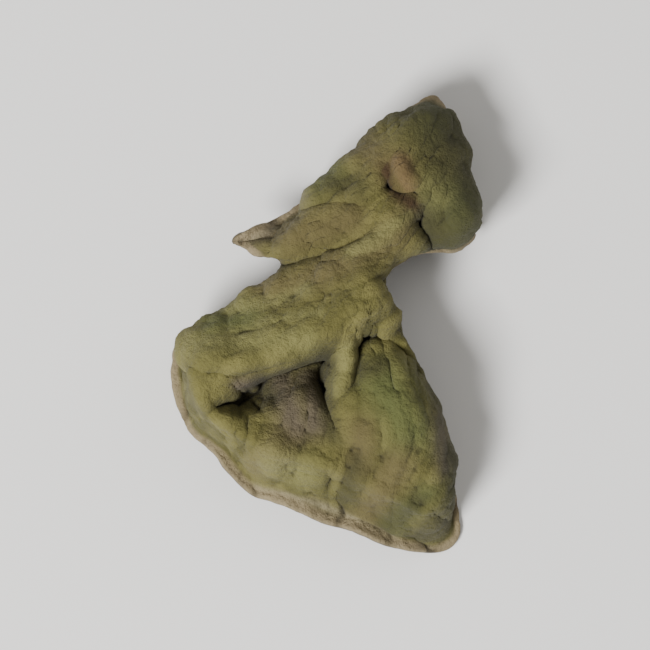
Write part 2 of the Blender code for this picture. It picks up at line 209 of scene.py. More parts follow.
def softened(ring: np.ndarray, times: int) -> np.ndarray:
    """A closed ring, each entry replaced by the 1-2-1 mean of itself and its neighbours, many times.

    Args:
        ring: Values or points in turning order.
        times: How many times.

    Returns:
        The softer ring.
    """
    for _ in range(times):
        ring = (np.roll(ring, 1, axis=0) + 2 * ring + np.roll(ring, -1, axis=0)) / 4
    return ring


@dataclass(frozen=True)
class Fold:
    """A ridge of the upper face, or with a rise below zero a crease, along a line seen from above."""

    line: Line
    rise: float
    width: float
    places: tuple[float, ...] = (0.0, 1.0)
    shares: tuple[float, ...] = (1.0, 1.0)

    def height(self, plan: np.ndarray) -> np.ndarray:
        """Rise times its profile across, times the share at that place along the line.

        A ridge's profile is a bell, and a crease's is a valley.

        Args:
            plan: Plan points.

        Returns:
            A height for each.
        """
        distance, place, _ = along(plan, self.line)
        share = np.interp(place, self.places, self.shares)
        profile = bell if self.rise > 0 else valley
        return self.rise * profile(distance, self.width) * share


@dataclass(frozen=True)
class UpperFace:
    """The felted upper face as a height over the plan, from its folds.

    A lump is x, y, rise and width.  The hollow lies below one line and left of another.
    """

    plateau: float = 6.4
    band: Fold = Fold(
        (
            (1.8, 0.4), (-0.4, -0.6), (-3.0, -1.5), (-5.9, -2.6),
            (-8.7, -3.6), (-9.6, -7.2), (-7.8, -9.8), (-4.8, -11.2),
        ),
        2.3, 2.0, (0, 0.5, 0.62, 1), (1, 1, 0.75, 0.45),
    )
    lobe: Fold = Fold(((6.4, 13.0), (4.6, 9.0), (2.0, 5.0), (0.0, 1.2)), 1.6, 3.0, (0, 1), (1, 0.6))
    neck: Fold = Fold(((4.8, 6.0), (3.2, 4.5), (1.4, 3.0), (-1.0, 1.8)), 0.6, 0.9, (0, 0.3, 1), (0.4, 1, 0))
    band_lip: Fold = Fold(
        ((-8.6, -5.3), (-7.0, -5.0), (-5.0, -4.2), (-3.4, -3.4)),
        0.25, 0.6, (0, 0.3, 0.6, 1), (0, 1, 0.4, 0.2),
    )
    band_crease: Fold = Fold(
        ((-9.8, -3.9), (-7.6, -4.1), (-5.6, -3.5), (-3.8, -2.8)),
        -0.45, 0.5, (0, 0.3, 0.7, 1), (0.3, 1, 0.8, 0),
    )
    tongue: Fold = Fold(
        ((0.2, -1.6), (-0.1, -2.7), (-0.3, -3.6), (-0.4, -4.5), (-0.6, -5.3), (-0.7, -6.1)),
        0.9, 0.4, (0, 0.35, 0.8, 1), (0.1, 1, 0.9, 0.1),
    )
    tongue_left: Fold = Fold(
        ((-1.2, -2.8), (-1.4, -4.6), (-1.3, -6.0), (-0.8, -7.2), (-0.5, -8.8)),
        -1.5, 0.5, (0, 0.3, 0.6, 0.8, 1), (1, 1, 0.9, 0.6, 0),
    )
    tongue_right: Fold = Fold(
        ((0.7, -2.7), (0.5, -3.3), (0.3, -4.2), (0.1, -5.2), (0.1, -6.2)),
        -0.9, 0.4, (0, 0.4, 0.7, 1), (1, 1, 0.8, 0),
    )
    arch: Fold = Fold(
        ((0.7, -2.9), (1.8, -2.5), (3.2, -2.8), (4.5, -4.1), (5.4, -5.6), (5.8, -7.2)),
        -1.9, 0.7, (0, 0.2, 0.7, 1), (0.8, 1, 0.8, 0.1),
    )
    lobe_crease: Fold = Fold(
        ((-3.8, 2.0), (-1.8, 2.4), (0.2, 3.4), (1.9, 4.7)),
        -1.4, 0.5, (0, 0.5, 1), (1, 0.9, 0),
    )
    leaf_crease: Fold = Fold(
        ((-4.2, 3.8), (-3.6, 4.9), (-2.2, 5.8), (-0.4, 6.3), (1.4, 6.2), (2.6, 6.5)),
        -0.8, 0.5, (0, 0.3, 0.8, 1), (1, 1, 0.6, 0),
    )
    corner_crease: Fold = Fold(
        ((5.0, 6.2), (5.1, 4.9), (5.9, 3.6), (6.4, 2.6)),
        -1.5, 0.5, (0, 0.4, 1), (0, 1, 1),
    )
    low_crease: Fold = Fold(
        ((1.4, -9.8), (0.5, -10.8), (0.1, -11.8)),
        -0.1, 0.9, (0, 0.5, 1), (0, 1, 0),
    )
    right_crease: Fold = Fold(
        ((5.6, -11.9), (4.4, -13.1), (3.0, -14.2)),
        -0.5, 0.9, (0, 0.5, 1), (0.2, 1, 0.2),
    )
    left_groove: Fold = Fold(
        ((-9.9, -2.6), (-10.0, -4.6), (-9.8, -7.0)),
        -0.9, 0.4, (0, 0.5, 1), (0.3, 1, 0.2),
    )
    scar_bump: Fold = Fold(((3.6, 8.6), (4.1, 7.5)), 0.5, 0.42)
    scar_edge: Fold = Fold(
        ((2.8, 8.4), (2.9, 7.4), (3.4, 6.7), (4.3, 6.5)),
        -0.9, 0.35, (0, 0.5, 1), (0.1, 1, 0.2),
    )
    hollow: Line = (
        (-9.0, -6.5), (-7.6, -5.9), (-6.1, -5.0), (-4.9, -4.3),
        (-3.6, -3.6), (-2.4, -3.1), (-1.0, -2.7),
    )
    hollow_side: Line = ((-0.9, -2.0), (-1.1, -4.6), (-1.0, -5.8), (-0.6, -7.0), (-0.1, -9.2))
    hollow_depth: float = 2.6
    hollow_places: tuple[float, ...] = (0.0, 0.2, 1.0)
    hollow_reaches: tuple[float, ...] = (1.6, 2.2, 5.4)
    hollow_edge: Range = (-0.4, 0.7)
    hollow_fade: Range = (0.1, 0.95)
    hollow_wall: Range = (-0.5, 0.6)
    hollow_end: Range = (0.0, 0.16)
    lumps: tuple[tuple[float, float, float, float], ...] = (
        (3.3, -7.2, 1.8, 3.1),
        (7.4, 4.9, 0.7, 1.1),
        (-4.8, -10.4, 0.5, 1.3),
        (-1.7, -10.9, 0.6, 1.2),
        (1.1, -8.6, 0.4, 0.9),
        (1.9, -13.4, 0.5, 1.1),
        (0.2, 7.3, -0.4, 0.8),
        (6.6, 13.4, -2.4, 3.2),
    )
    lump_squeeze: float = 0.8
    lean: float = 0.9
    lean_sideways: float = 0.35
    lean_width: float = 1.9
    lean_places: tuple[float, ...] = (0, 0.15, 0.45, 0.58)
    lean_shares: tuple[float, ...] = (0, 1, 1, 0)
    sway: tuple[tuple[Wave, ...], ...] = (
        (Wave(0.38, 2.3, 41), Wave(0.16, 0.95, 42)),
        (Wave(0.38, 2.3, 43), Wave(0.16, 0.95, 44)),
    )

    def folds(self) -> list[Fold]:
        """Every fold that lies along a line."""
        return [value for value in vars(self).values() if isinstance(value, Fold)]

    def pit(self, plan: np.ndarray) -> np.ndarray:
        """Share of the hollow's depth.

        It rises over 1 mm below the band's lower edge and fades further down, over 2 mm at
        the left corner and 5 mm beside the tongue, which closes it on the right.

        Args:
            plan: Plan points.

        Returns:
            A share from 0 to 1 for each.
        """
        distance, place, side = along(plan, self.hollow)
        below = -side * distance
        reach = np.interp(place, self.hollow_places, self.hollow_reaches)
        share = ramp(below, *self.hollow_edge) * (1.0 - ramp(below / reach, *self.hollow_fade))
        distance, _, side = along(plan, self.hollow_side)
        inside = ramp(-side * distance, *self.hollow_wall)
        return share * inside * ramp(place, *self.hollow_end)

    def height(self, plan: np.ndarray) -> np.ndarray:
        """Height over the resting surface: the plateau, the folds and the lumps, less the hollow.

        Args:
            plan: Plan points.

        Returns:
            A height for each.
        """
        bent = self.bent(plan)
        height = self.plateau + sum(fold.height(bent) for fold in self.folds())
        for x, y, rise, width in self.lumps:
            off = np.hypot(bent[..., 0] - x, self.lump_squeeze * (bent[..., 1] - y))
            height += rise * bell(off, width)
        return height - self.hollow_depth * self.pit(bent)

    def bent(self, plan: np.ndarray) -> np.ndarray:
        """Plan points moved by slow and quick waves, so that no fold is drawn quite smooth."""
        flat = np.concatenate([plan, np.zeros(plan.shape[:-1] + (1,))], axis=-1)
        return plan + np.stack([swell(waves, flat) for waves in self.sway], axis=-1)

    def place(self, plan: np.ndarray, height: np.ndarray) -> np.ndarray:
        """Points in space, with the band pushed over the hollow in front of it.

        Args:
            plan: Plan points.
            height: Their heights.

        Returns:
            Points (x, y, z), moved near the band by up to its lean.
        """
        distance, place, _ = along(plan, self.band.line)
        share = np.interp(place, self.lean_places, self.lean_shares)
        lean = self.lean * bell(distance, self.lean_width) * share
        return np.stack([plan[..., 0] + self.lean_sideways * lean, plan[..., 1] - lean, height], axis=-1)


@dataclass(frozen=True)
class Grain:
    """The ways that the wrinkles of drying run over the upper face."""

    lines: tuple[Line, ...] = (
        ((2.4, 0.6), (-0.4, -0.6), (-3.0, -1.5), (-5.9, -2.6), (-9.4, -3.8)),
        ((-9.6, -4.6), (-9.4, -7.0), (-8.0, -9.6)),
        ((7.0, 12.6), (4.6, 9.0), (1.6, 5.6), (-3.6, 3.2)),
        ((5.0, 12.6), (1.0, 8.8), (-3.0, 5.6), (-6.6, 3.9)),
        ((8.0, 9.0), (6.6, 6.4), (7.6, 4.2)),
        ((4.6, 5.8), (2.4, 3.4), (-2.4, 1.8)),
        ((-2.4, -4.0), (-3.4, -8.4), (-6.0, -12.2)),
        ((0.2, -3.2), (0.2, -8.6), (-1.4, -13.6)),
        ((2.4, -3.6), (3.4, -8.0), (1.6, -14.4)),
        ((4.6, -5.0), (6.0, -9.6), (4.6, -14.8)),
    )
    width: float = 2.2
    far_weight: float = 1e-6
    level_weight: float = 1e-9

    def way(self, plan: np.ndarray) -> np.ndarray:
        """Unit plan directions of the wrinkles.

        The main axis of the lines' directions at their nearest points, as doubled angles,
        each weighted by a bell of its distance.

        Args:
            plan: Plan points.

        Returns:
            A direction for each, with either sign.
        """
        even = np.full(plan.shape[:-1], self.level_weight)
        cross = np.zeros(plan.shape[:-1])
        for points in self.lines:
            distance, place, _ = along(plan, points)
            line = rounded(np.array(points))
            step = np.gradient(line, axis=0)
            angle = 2 * np.arctan2(step[:, 1], step[:, 0])
            steps = np.linalg.norm(np.diff(line, axis=0), axis=1)
            lengths = np.concatenate([[0.0], np.cumsum(steps)])
            at = lengths / lengths[-1]
            weight = self.far_weight / (1.0 + distance) + bell(distance, self.width)
            even = even + weight * np.interp(place, at, np.cos(angle))
            cross = cross + weight * np.interp(place, at, np.sin(angle))
        return directions(0.5 * np.arctan2(cross, even))


class GrainMap:
    """The grain on an even plan grid, as doubled angles, read between its points."""

    def __init__(self, grain: Grain, reach: float = 20.0, cell: float = 0.25) -> None:
        """Lay the grain on the grid.

        Args:
            grain: The ways to lay down.
            reach: Half the grid's side, in mm.
            cell: Its spacing.
        """
        self.reach, self.cell = reach, cell
        at = np.arange(-reach, reach + cell / 2, cell)
        way = grain.way(np.stack(np.meshgrid(at, at, indexing="ij"), axis=-1))
        self.table = directions(2 * np.arctan2(way[..., 1], way[..., 0]))

    def read(self, plan: np.ndarray) -> np.ndarray:
        """Directions from the four grid points round each plan point.

        Args:
            plan: Plan points.

        Returns:
            A unit direction for each, with either sign.
        """
        spot = np.clip((plan + self.reach) / self.cell, 0.0, len(self.table) - 1 - TINY)
        low = np.floor(spot).astype(int)
        a, b = (spot - low).T[:, :, None]
        i, j = low.T
        mixed = blended(self.table, (i, i + 1), j, a, b)
        return directions(0.5 * np.arctan2(mixed[:, 1], mixed[:, 0]))


@dataclass(frozen=True)
class Tint:
    """A soft-edged area of another colour, along lines seen from above."""

    name: str
    colour: Colour
    strength: float
    lines: tuple[tuple[Line, float], ...]

    def share(self, plan: np.ndarray) -> np.ndarray:
        """The largest bell of the distances to the lines, each with its own width."""
        return np.max([bell(along(plan, line)[0], width) for line, width in self.lines], axis=0)


BEIGE: Colour = (0.106, 0.084, 0.032)
TINTS = (
    Tint("green", (0.080, 0.094, 0.027), 0.75, (
        (((-8.6, -1.8), (-6.0, -1.2)), 0.9),
        (((5.6, 13.0), (5.4, 11.4)), 1.5),
        (((-2.4, 7.0), (-0.4, 8.4)), 0.9),
        (((6.4, 6.4), (7.4, 4.8)), 1.6),
        (((2.6, -5.4), (4.2, -8.4)), 1.7),
        (((3.2, -14.0), (5.2, -12.4)), 0.8),
    )),
    Tint("beige", BEIGE, 0.75, (
        (((-5.0, 0.6), (-2.0, 1.4), (2.0, 3.4), (4.4, 5.6)), 1.0),
        (((-3.4, 4.0), (0.4, 5.2)), 1.3),
        (((1.0, 10.0), (2.8, 8.8)), 1.4),
        (((1.2, -8.4), (1.0, -10.4)), 1.1),
        (((3.4, -10.4), (1.4, -13.8)), 1.2),
        (((-3.4, -8.8), (-5.4, -10.4)), 0.9),
    )),
    Tint("mauve", (0.100, 0.078, 0.054), 0.85, (
        (((-4.0, -5.6), (-3.2, -8.0)), 1.2),
        (((-2.2, -5.4), (-2.0, -8.0)), 1.0),
        (((-7.0, -5.2), (-5.6, -4.9)), 0.5),
        (((-7.0, 3.8), (-5.2, 4.4)), 0.9),
        (((5.8, -7.4), (6.3, -10.8)), 0.6),
    )),
    Tint("pale", (0.25, 0.215, 0.125), 0.75, (
        (((-5.6, -12.3), (-2.0, -13.1), (1.0, -14.5), (3.0, -15.3)), 0.45),
        (((-6.8, 4.2), (-5.0, 5.0), (-2.6, 6.6)), 0.6),
    )),
    # light: painted highlight on the band's edges, the tongue, the ridge above the lobe's crease, the lobe's
    # right corner and the low cheek; not a colour of the ear
    Tint("light", (0.20, 0.19, 0.065), 0.6, (
        (((-9.4, -2.9), (-6.0, -2.7), (-2.4, -2.4)), 0.8),
        (((-7.4, -0.8), (-4.6, -0.2), (-2.4, 0.6)), 0.5),
        (((-5.4, -1.6), (-1.6, -0.9)), 0.4),
        (((5.2, 7.4), (6.4, 6.4)), 0.8),
        (((0.05, -2.8), (0.0, -4.4), (-0.3, -5.0), (-0.5, -5.9)), 0.35),
        (((0.4, 2.8), (2.0, 3.8), (4.0, 5.6)), 0.35),
        (((-4.6, -10.2), (-2.4, -11.0)), 0.9),
    )),
    # painted shade: the lobe's far edge, the corner crease and the right strip are darker where they face
    # away from the lamp
    Tint("painted_dusk_shade", (0.034, 0.036, 0.017), 0.7, (
        (((5.4, 13.8), (6.9, 11.6), (7.8, 9.0), (8.2, 6.4)), 1.7),
        (((5.0, 5.6), (5.9, 3.4)), 1.0),
        (((6.6, -9.6), (6.9, -13.4)), 0.8),
    )),
    Tint("shade", (0.040, 0.037, 0.012), 0.7, (
        (((4.6, 11.6), (6.4, 9.0)), 2.2),
        (((6.2, 4.8), (7.6, 4.2)), 1.4),
        (((3.4, 13.0), (1.0, 10.4)), 0.9),
        (((-0.4, 7.3), (1.0, 7.3)), 0.8),
        (((-1.5, -3.4), (-1.35, -5.6), (-0.95, -7.6), (-0.6, -8.6)), 0.75),
        (((1.0, -4.6), (2.2, -4.4)), 0.6),
        (((0.9, -10.4), (0.2, -12.4)), 0.7),
        (((-5.6, -4.9), (-4.6, -6.4)), 0.7),
        (((5.2, -4.6), (6.0, -7.6)), 0.9),
        (((4.8, -12.9), (3.2, -14.1)), 0.9),
        (((4.4, -14.8), (6.2, -14.4)), 0.9),
    )),
    Tint("scar", (0.140, 0.090, 0.038), 0.8, (
        (((3.6, 8.8), (4.1, 7.4)), 0.52),
    )),
    Tint("scar_shade", (0.034, 0.012, 0.005), 0.8, (
        (((2.7, 8.4), (2.9, 7.3), (3.5, 6.5), (4.3, 6.2)), 0.5),
    )),
)


class Corner(Enum):
    """Margin points, by number, that the four corners of the upper face's grid look towards."""

    LOW_LEFT = 25
    LOW_RIGHT = 33
    HIGH_RIGHT = 8
    HIGH_LEFT = 11


@dataclass
class Skirt:
    """The curled margin: a ring of profiles that run outward and down from the shoulder.

    Each row of the margin is a margin point x, y, the shoulder point x, y that it hangs
    from, the angle in degrees that the profile turns down, the angle that its lip turns
    back up, and the rim's height.
    """

    face: UpperFace
    margin: tuple[tuple[float, ...], ...] = (
        (2.6, -0.1, 1.4, -0.2, 90.0, 0.0, 5.2),
        (2.2, 0.9, 1.2, 0.8, 88.0, 0.0, 5.2),
        (3.0, 2.0, 2.0, 2.4, 88.0, 10.0, 4.8),
        (4.9, 3.1, 4.2, 3.8, 88.0, 15.0, 3.8),
        (7.1, 3.4, 6.2, 4.7, 86.0, 30.0, 2.4),
        (8.4, 4.4, 7.0, 5.5, 92.0, 25.0, 0.8),
        (8.2, 7.2, 6.7, 7.4, 100.0, 0.0, -0.8),
        (7.6, 9.8, 6.0, 9.4, 98.0, 0.0, -0.2),
        (6.9, 12.0, 5.3, 11.0, 92.0, 5.0, 1.2),
        (5.7, 13.5, 4.9, 11.8, 72.0, 30.0, 2.4),
        (4.5, 12.6, 4.1, 11.2, 80.0, 15.0, 2.6),
        (2.5, 10.9, 3.1, 9.6, 96.0, -5.0, 2.2),
        (0.3, 9.1, 1.6, 7.9, 102.0, -10.0, 1.8),
        (-2.2, 6.8, -0.7, 5.8, 94.0, 5.0, 2.2),
        (-4.2, 5.4, -2.6, 4.5, 66.0, 45.0, 3.8),
        (-6.1, 4.6, -3.3, 3.9, 46.0, 55.0, 4.8),
        (-7.3, 3.8, -3.6, 3.4, 36.0, 55.0, 5.2),
        (-5.9, 3.3, -3.5, 2.9, 56.0, 45.0, 5.0),
        (-4.3, 3.0, -3.1, 2.4, 86.0, 15.0, 4.8),
        (-3.9, 2.0, -2.8, 1.6, 90.0, 0.0, 4.6),
        (-5.5, 0.8, -4.2, -0.4, 92.0, 0.0, 3.4),
        (-7.4, -0.3, -6.4, -1.9, 98.0, -5.0, 2.0),
        (-9.4, -1.2, -8.2, -3.0, 100.0, -5.0, 1.2),
        (-10.7, -2.6, -9.0, -3.6, 92.0, 20.0, 0.4),
        (-11.3, -4.8, -9.3, -4.8, 80.0, 40.0, -0.7),
        (-10.9, -6.8, -9.1, -6.2, 72.0, 45.0, -0.4),
        (-9.6, -8.9, -8.1, -7.4, 60.0, 58.0, 1.8),
        (-7.8, -10.8, -6.5, -8.4, 50.0, 60.0, 3.0),
        (-6.0, -12.6, -4.9, -9.4, 46.0, 64.0, 3.7),
        (-3.6, -13.2, -2.8, -9.9, 44.0, 64.0, 3.8),
        (-0.8, -14.5, -0.6, -10.6, 46.0, 64.0, 3.4),
        (1.9, -15.7, 1.6, -11.5, 50.0, 60.0, 2.6),
        (4.4, -16.2, 3.4, -12.7, 56.0, 52.0, 1.4),
        (6.6, -16.0, 5.0, -13.5, 62.0, 44.0, 0.4),
        (7.3, -14.2, 5.6, -12.9, 82.0, 25.0, -0.7),
        (6.9, -11.4, 5.3, -11.0, 92.0, 5.0, 1.6),
        (6.3, -8.6, 4.7, -8.2, 102.0, -10.0, 2.8),
        (5.7, -6.3, 4.2, -6.0, 104.0, -15.0, 3.6),
        (4.8, -4.5, 3.5, -4.0, 98.0, -5.0, 4.2),
        (3.8, -2.8, 2.6, -2.4, 94.0, 0.0, 4.8),
        (3.1, -1.4, 1.9, -1.2, 92.0, 0.0, 5.2),
    )
    fineness: int = 12
    places: int = 960
    steps: int = 72
    margin_softening: int = 30
    shoulder_softening: int = 60
    way_softening: int = 20
    lip_length: float = 1.3
    least_fall: float = 0.6
    least_lean: float = 0.02
    least_curl: float = 0.5
    most_curl: float = 0.9
    drum: float = 4.0
    drum_height: float = 0.6
    ruffle: tuple[Wave, ...] = (Wave(0.35, 1.0, 5), Wave(0.16, 0.43, 6))
    ruffle_growth: float = 1.3
    flutter: Wave = Wave(1.0, 0.67, 8)
    waist: float = 2.0
    waist_fade: float = 4.0
    fold_fade: float = 2.5
    corners: dict[Corner, float] = field(init=False)
    shoulder: np.ndarray = field(init=False)
    outward: np.ndarray = field(init=False)
    top: np.ndarray = field(init=False)
    out: np.ndarray = field(init=False)
    drop: np.ndarray = field(init=False)
    length: np.ndarray = field(init=False)

    def __post_init__(self) -> None:
        """Round the rings off and draw the profiles between them."""
        margin = np.array(self.margin)
        closed = np.vstack([margin[-1:], margin, margin[:2]])
        ring, share = self.evenly(rounded(closed, self.fineness)[self.fineness:-self.fineness - 1])
        self.corners = {corner: share[self.fineness * corner.value] for corner in Corner}
        ring = softened(ring, self.margin_softening)
        self.shoulder = softened(ring[:, 2:4], self.shoulder_softening)
        reach = ring[:, :2] - self.shoulder
        self.outward = softened(reach / np.linalg.norm(reach, axis=1)[:, None], self.way_softening)
        self.outward /= np.linalg.norm(self.outward, axis=1)[:, None]
        self.draw_profiles(np.linalg.norm(reach, axis=1), *np.radians(ring[:, 4:6].T), ring[:, 6])

    def evenly(self, ring: np.ndarray) -> tuple[np.ndarray, np.ndarray]:
        """A closed ring resampled at even steps of its length.

        Args:
            ring: Rows that start with x and y.

        Returns:
            The rows at even steps, and the share of the length at each row given.
        """
        closed = np.vstack([ring, ring[:1]])
        lengths = np.linalg.norm(np.diff(closed[:, :2], axis=0), axis=1)
        share = np.concatenate([[0.0], np.cumsum(lengths)]) / lengths.sum()
        at = np.arange(self.places) / self.places
        return np.stack([np.interp(at, share, column) for column in closed.T], axis=-1), share[:-1]

    def draw_profiles(
        self, reach: np.ndarray, turn: np.ndarray, lip: np.ndarray, rim: np.ndarray
    ) -> None:
        """Tables of how far out and down each profile has run.

        A profile turns down on an arc and goes on straight until its rim is at the rim
        height, and over its last two lip lengths it turns back up.  The arc's radius is the
        one that brings it out to the margin, within limits, and the rest is made up by
        stretching.

        Args:
            reach: Plan distance from the shoulder to the margin at each place.
            turn: Angle that the profile turns down, in radians.
            lip: Angle that its lip turns back up.
            rim: Rim height.
        """
        self.top = self.face.height(self.shoulder)
        fall = np.maximum(self.top - rim, self.least_fall)
        lip_fall = self.lip_length * np.sin(turn - lip / 2)
        lip_reach = self.lip_length * np.cos(turn - lip / 2)
        slope = np.tan(np.minimum(turn, np.pi / 2 - self.least_lean))
        curl = reach - (fall - lip_fall) / slope - lip_reach
        curl = curl / np.tan(np.minimum(turn, np.pi / 2) / 2)
        curl = np.clip(curl, self.least_curl, self.most_curl * fall / (1 - np.cos(turn)))
        straight = np.maximum(0.0, (fall - curl * (1 - np.cos(turn)) - lip_fall) / np.sin(turn))
        whole = (curl * turn + straight + self.lip_length)[:, None]
        run = np.linspace(0.0, 1.0, self.steps)[None, :] * whole
        slant = np.minimum(run / curl[:, None], turn[:, None])
        slant = slant - lip[:, None] * ramp(run - whole, -2 * self.lip_length, 0.0)
        self.out = self.summed(np.cos(slant)) * whole
        self.out *= (reach / self.out.max(axis=1))[:, None]
        self.drop = self.summed(np.sin(slant)) * whole
        self.drop *= (fall / self.drop[:, -1])[:, None]
        self.length = np.hypot(np.diff(self.out, axis=1), np.diff(self.drop, axis=1)).sum(axis=1)

    def summed(self, slope: np.ndarray) -> np.ndarray:
        """Running total of a slope along each profile, by the trapezium rule."""
        steps = (slope[:, 1:] + slope[:, :-1]) / 2 / (self.steps - 1)
        return np.concatenate([np.zeros((len(slope), 1)), np.cumsum(steps, axis=1)], axis=1)

    def read(self, table: np.ndarray, place: np.ndarray, row: np.ndarray) -> np.ndarray:
        """Values of a table, blended between its entries.

        Args:
            table: One value a place, or a row of values a place down the skirt.
            place: Places round the ear.
            row: Rows down the skirt, from 0 at the shoulder to 1 at the rim.

        Returns:
            A value for each place and row.
        """
        if table.ndim == 1:
            table = np.repeat(table[:, None], 2, axis=1)
        across = (place * self.places) % self.places
        i = np.floor(across).astype(int) % self.places
        down = np.clip(row, 0.0, 1.0) * (table.shape[1] - 1)
        j = np.clip(np.floor(down).astype(int), 0, table.shape[1] - 2)
        return blended(table, (i, (i + 1) % self.places), j, across - np.floor(across), down - j)

    def border(self, across: int, along_count: int) -> np.ndarray:
        """Places round the ear of the upper face's border nodes, from its low left corner.

        Args:
            across: Cells across the ear.
            along_count: Cells along it.

        Returns:
            One place, from 0 to 1 and on, for each border node.
        """
        order = [*Corner, Corner.LOW_LEFT]
        stops = np.array([self.corners[corner] for corner in order])
        stops = np.unwrap(stops * 2 * np.pi) / (2 * np.pi)
        sides = zip(stops, stops[1:], (across, along_count, across, along_count))
        return np.concatenate([np.linspace(a, b, count, endpoint=False) for a, b, count in sides])

    def start(self, place: np.ndarray) -> np.ndarray:
        """Plan points of the shoulder at places round the ear."""
        zero = np.zeros(place.shape)
        return np.stack([self.read(column, place, zero) for column in self.shoulder.T], axis=-1)

    def surface(self, place: np.ndarray, row: np.ndarray) -> np.ndarray:
        """Points of the skirt's middle.

        The shoulder, plus the outward way times the profile's reach and its ruffle, at the
        top's height less the profile's drop, with the folds of the face fading down it and
        a flutter that grows as the row squared.  Near the waist the skirt has neither ruffle
        nor flutter.

        Args:
            place: Places round the ear.
            row: Rows down the skirt, from 0 at the shoulder to 1 at the rim.

        Returns:
            Points (x, y, z).
        """
        way = np.stack([self.read(column, place, row) for column in self.outward.T], axis=-1)
        start = self.start(place)
        out, drop, top = (self.read(table, place, row) for table in (self.out, self.drop, self.top))
        drum = on_drum(place, self.drum, self.drum_height * row)
        free = np.clip((np.linalg.norm(start, axis=-1) - self.waist) / self.waist_fade, 0.0, 1.0)
        ruffle = free * swell(self.ruffle, drum) * row ** self.ruffle_growth
        plan = start + way * (out + ruffle)[..., None]
        height = top + (self.face.height(plan) - top) * bell(drop, self.fold_fade) - drop
        height = height + free * self.flutter.at(drum) * row ** 2
        return self.face.place(plan, height)


def cells(grid: np.ndarray) -> np.ndarray:
    """The four node numbers of each cell of a grid of node numbers, in turning order."""
    corners = (grid[:-1, :-1], grid[1:, :-1], grid[1:, 1:], grid[:-1, 1:])
    return np.stack(corners, axis=-1).reshape(-1, 4)


@dataclass
class Net:
    """The sheet's nodes and cells: the grid of the upper face, and rings of the skirt round it."""

    across: int = 96
    along: int = 160
    rows: int = 46
    core: np.ndarray = field(init=False)
    rings: np.ndarray = field(init=False)
    quads: np.ndarray = field(init=False)
    near: np.ndarray = field(init=False)
    far: np.ndarray = field(init=False)
    neighbours: np.ndarray = field(init=False)
    count: int = field(init=False)

    def __post_init__(self) -> None:
        """Number the nodes, the cells and each pair of nodes along a cell's sides or across it."""
        size = (self.across + 1) * (self.along + 1)
        self.core = np.arange(size).reshape(self.across + 1, self.along + 1)
        core = self.core
        border = np.concatenate([core[:-1, 0], core[-1, :-1], core[:0:-1, -1], core[0, :0:-1]])
        self.count = size + self.rows * len(border)
        outer = np.arange(size, self.count).reshape(self.rows, len(border))
        self.rings = np.vstack([border, outer])
        closed = np.hstack([self.rings, self.rings[:, :1]])
        self.quads = np.concatenate([cells(core), cells(closed)])
        pairs = ((0, 1), (1, 2), (2, 3), (3, 0), (0, 2), (1, 3))
        starts = np.concatenate([self.quads[:, a] for a, _ in pairs])
        ends = np.concatenate([self.quads[:, b] for _, b in pairs])
        self.near = np.concatenate([starts, ends])
        self.far = np.concatenate([ends, starts])
        self.neighbours = np.bincount(self.near, minlength=self.count) + TINY

    def spread(self, rows: np.ndarray, times: int) -> np.ndarray:
        """Rows of numbers, each replaced by the mean of its node's neighbours, many times.

        Args:
            rows: One row a node.
            times: How many times.

        Returns:
            One row a node.
        """
        for _ in range(times):
            sums = [np.bincount(self.near, column[self.far], self.count) for column in rows.T]
            rows = np.stack(sums, axis=-1) / self.neighbours[:, None]
        return rows

    def normals(self, points: np.ndarray) -> np.ndarray:
        """Unit normals out of the upper side: the mean of the cells' diagonal cross products.

        Args:
            points: One point a node.

        Returns:
            One normal a node.
        """
        corner = points[self.quads]
        cross = np.cross(corner[:, 2] - corner[:, 0], corner[:, 3] - corner[:, 1])
        total = np.zeros((self.count, 3))
        for axis in range(3):
            for side in range(4):
                total[:, axis] += np.bincount(self.quads[:, side], cross[:, axis], self.count)
        return total / np.linalg.norm(total, axis=1)[:, None]


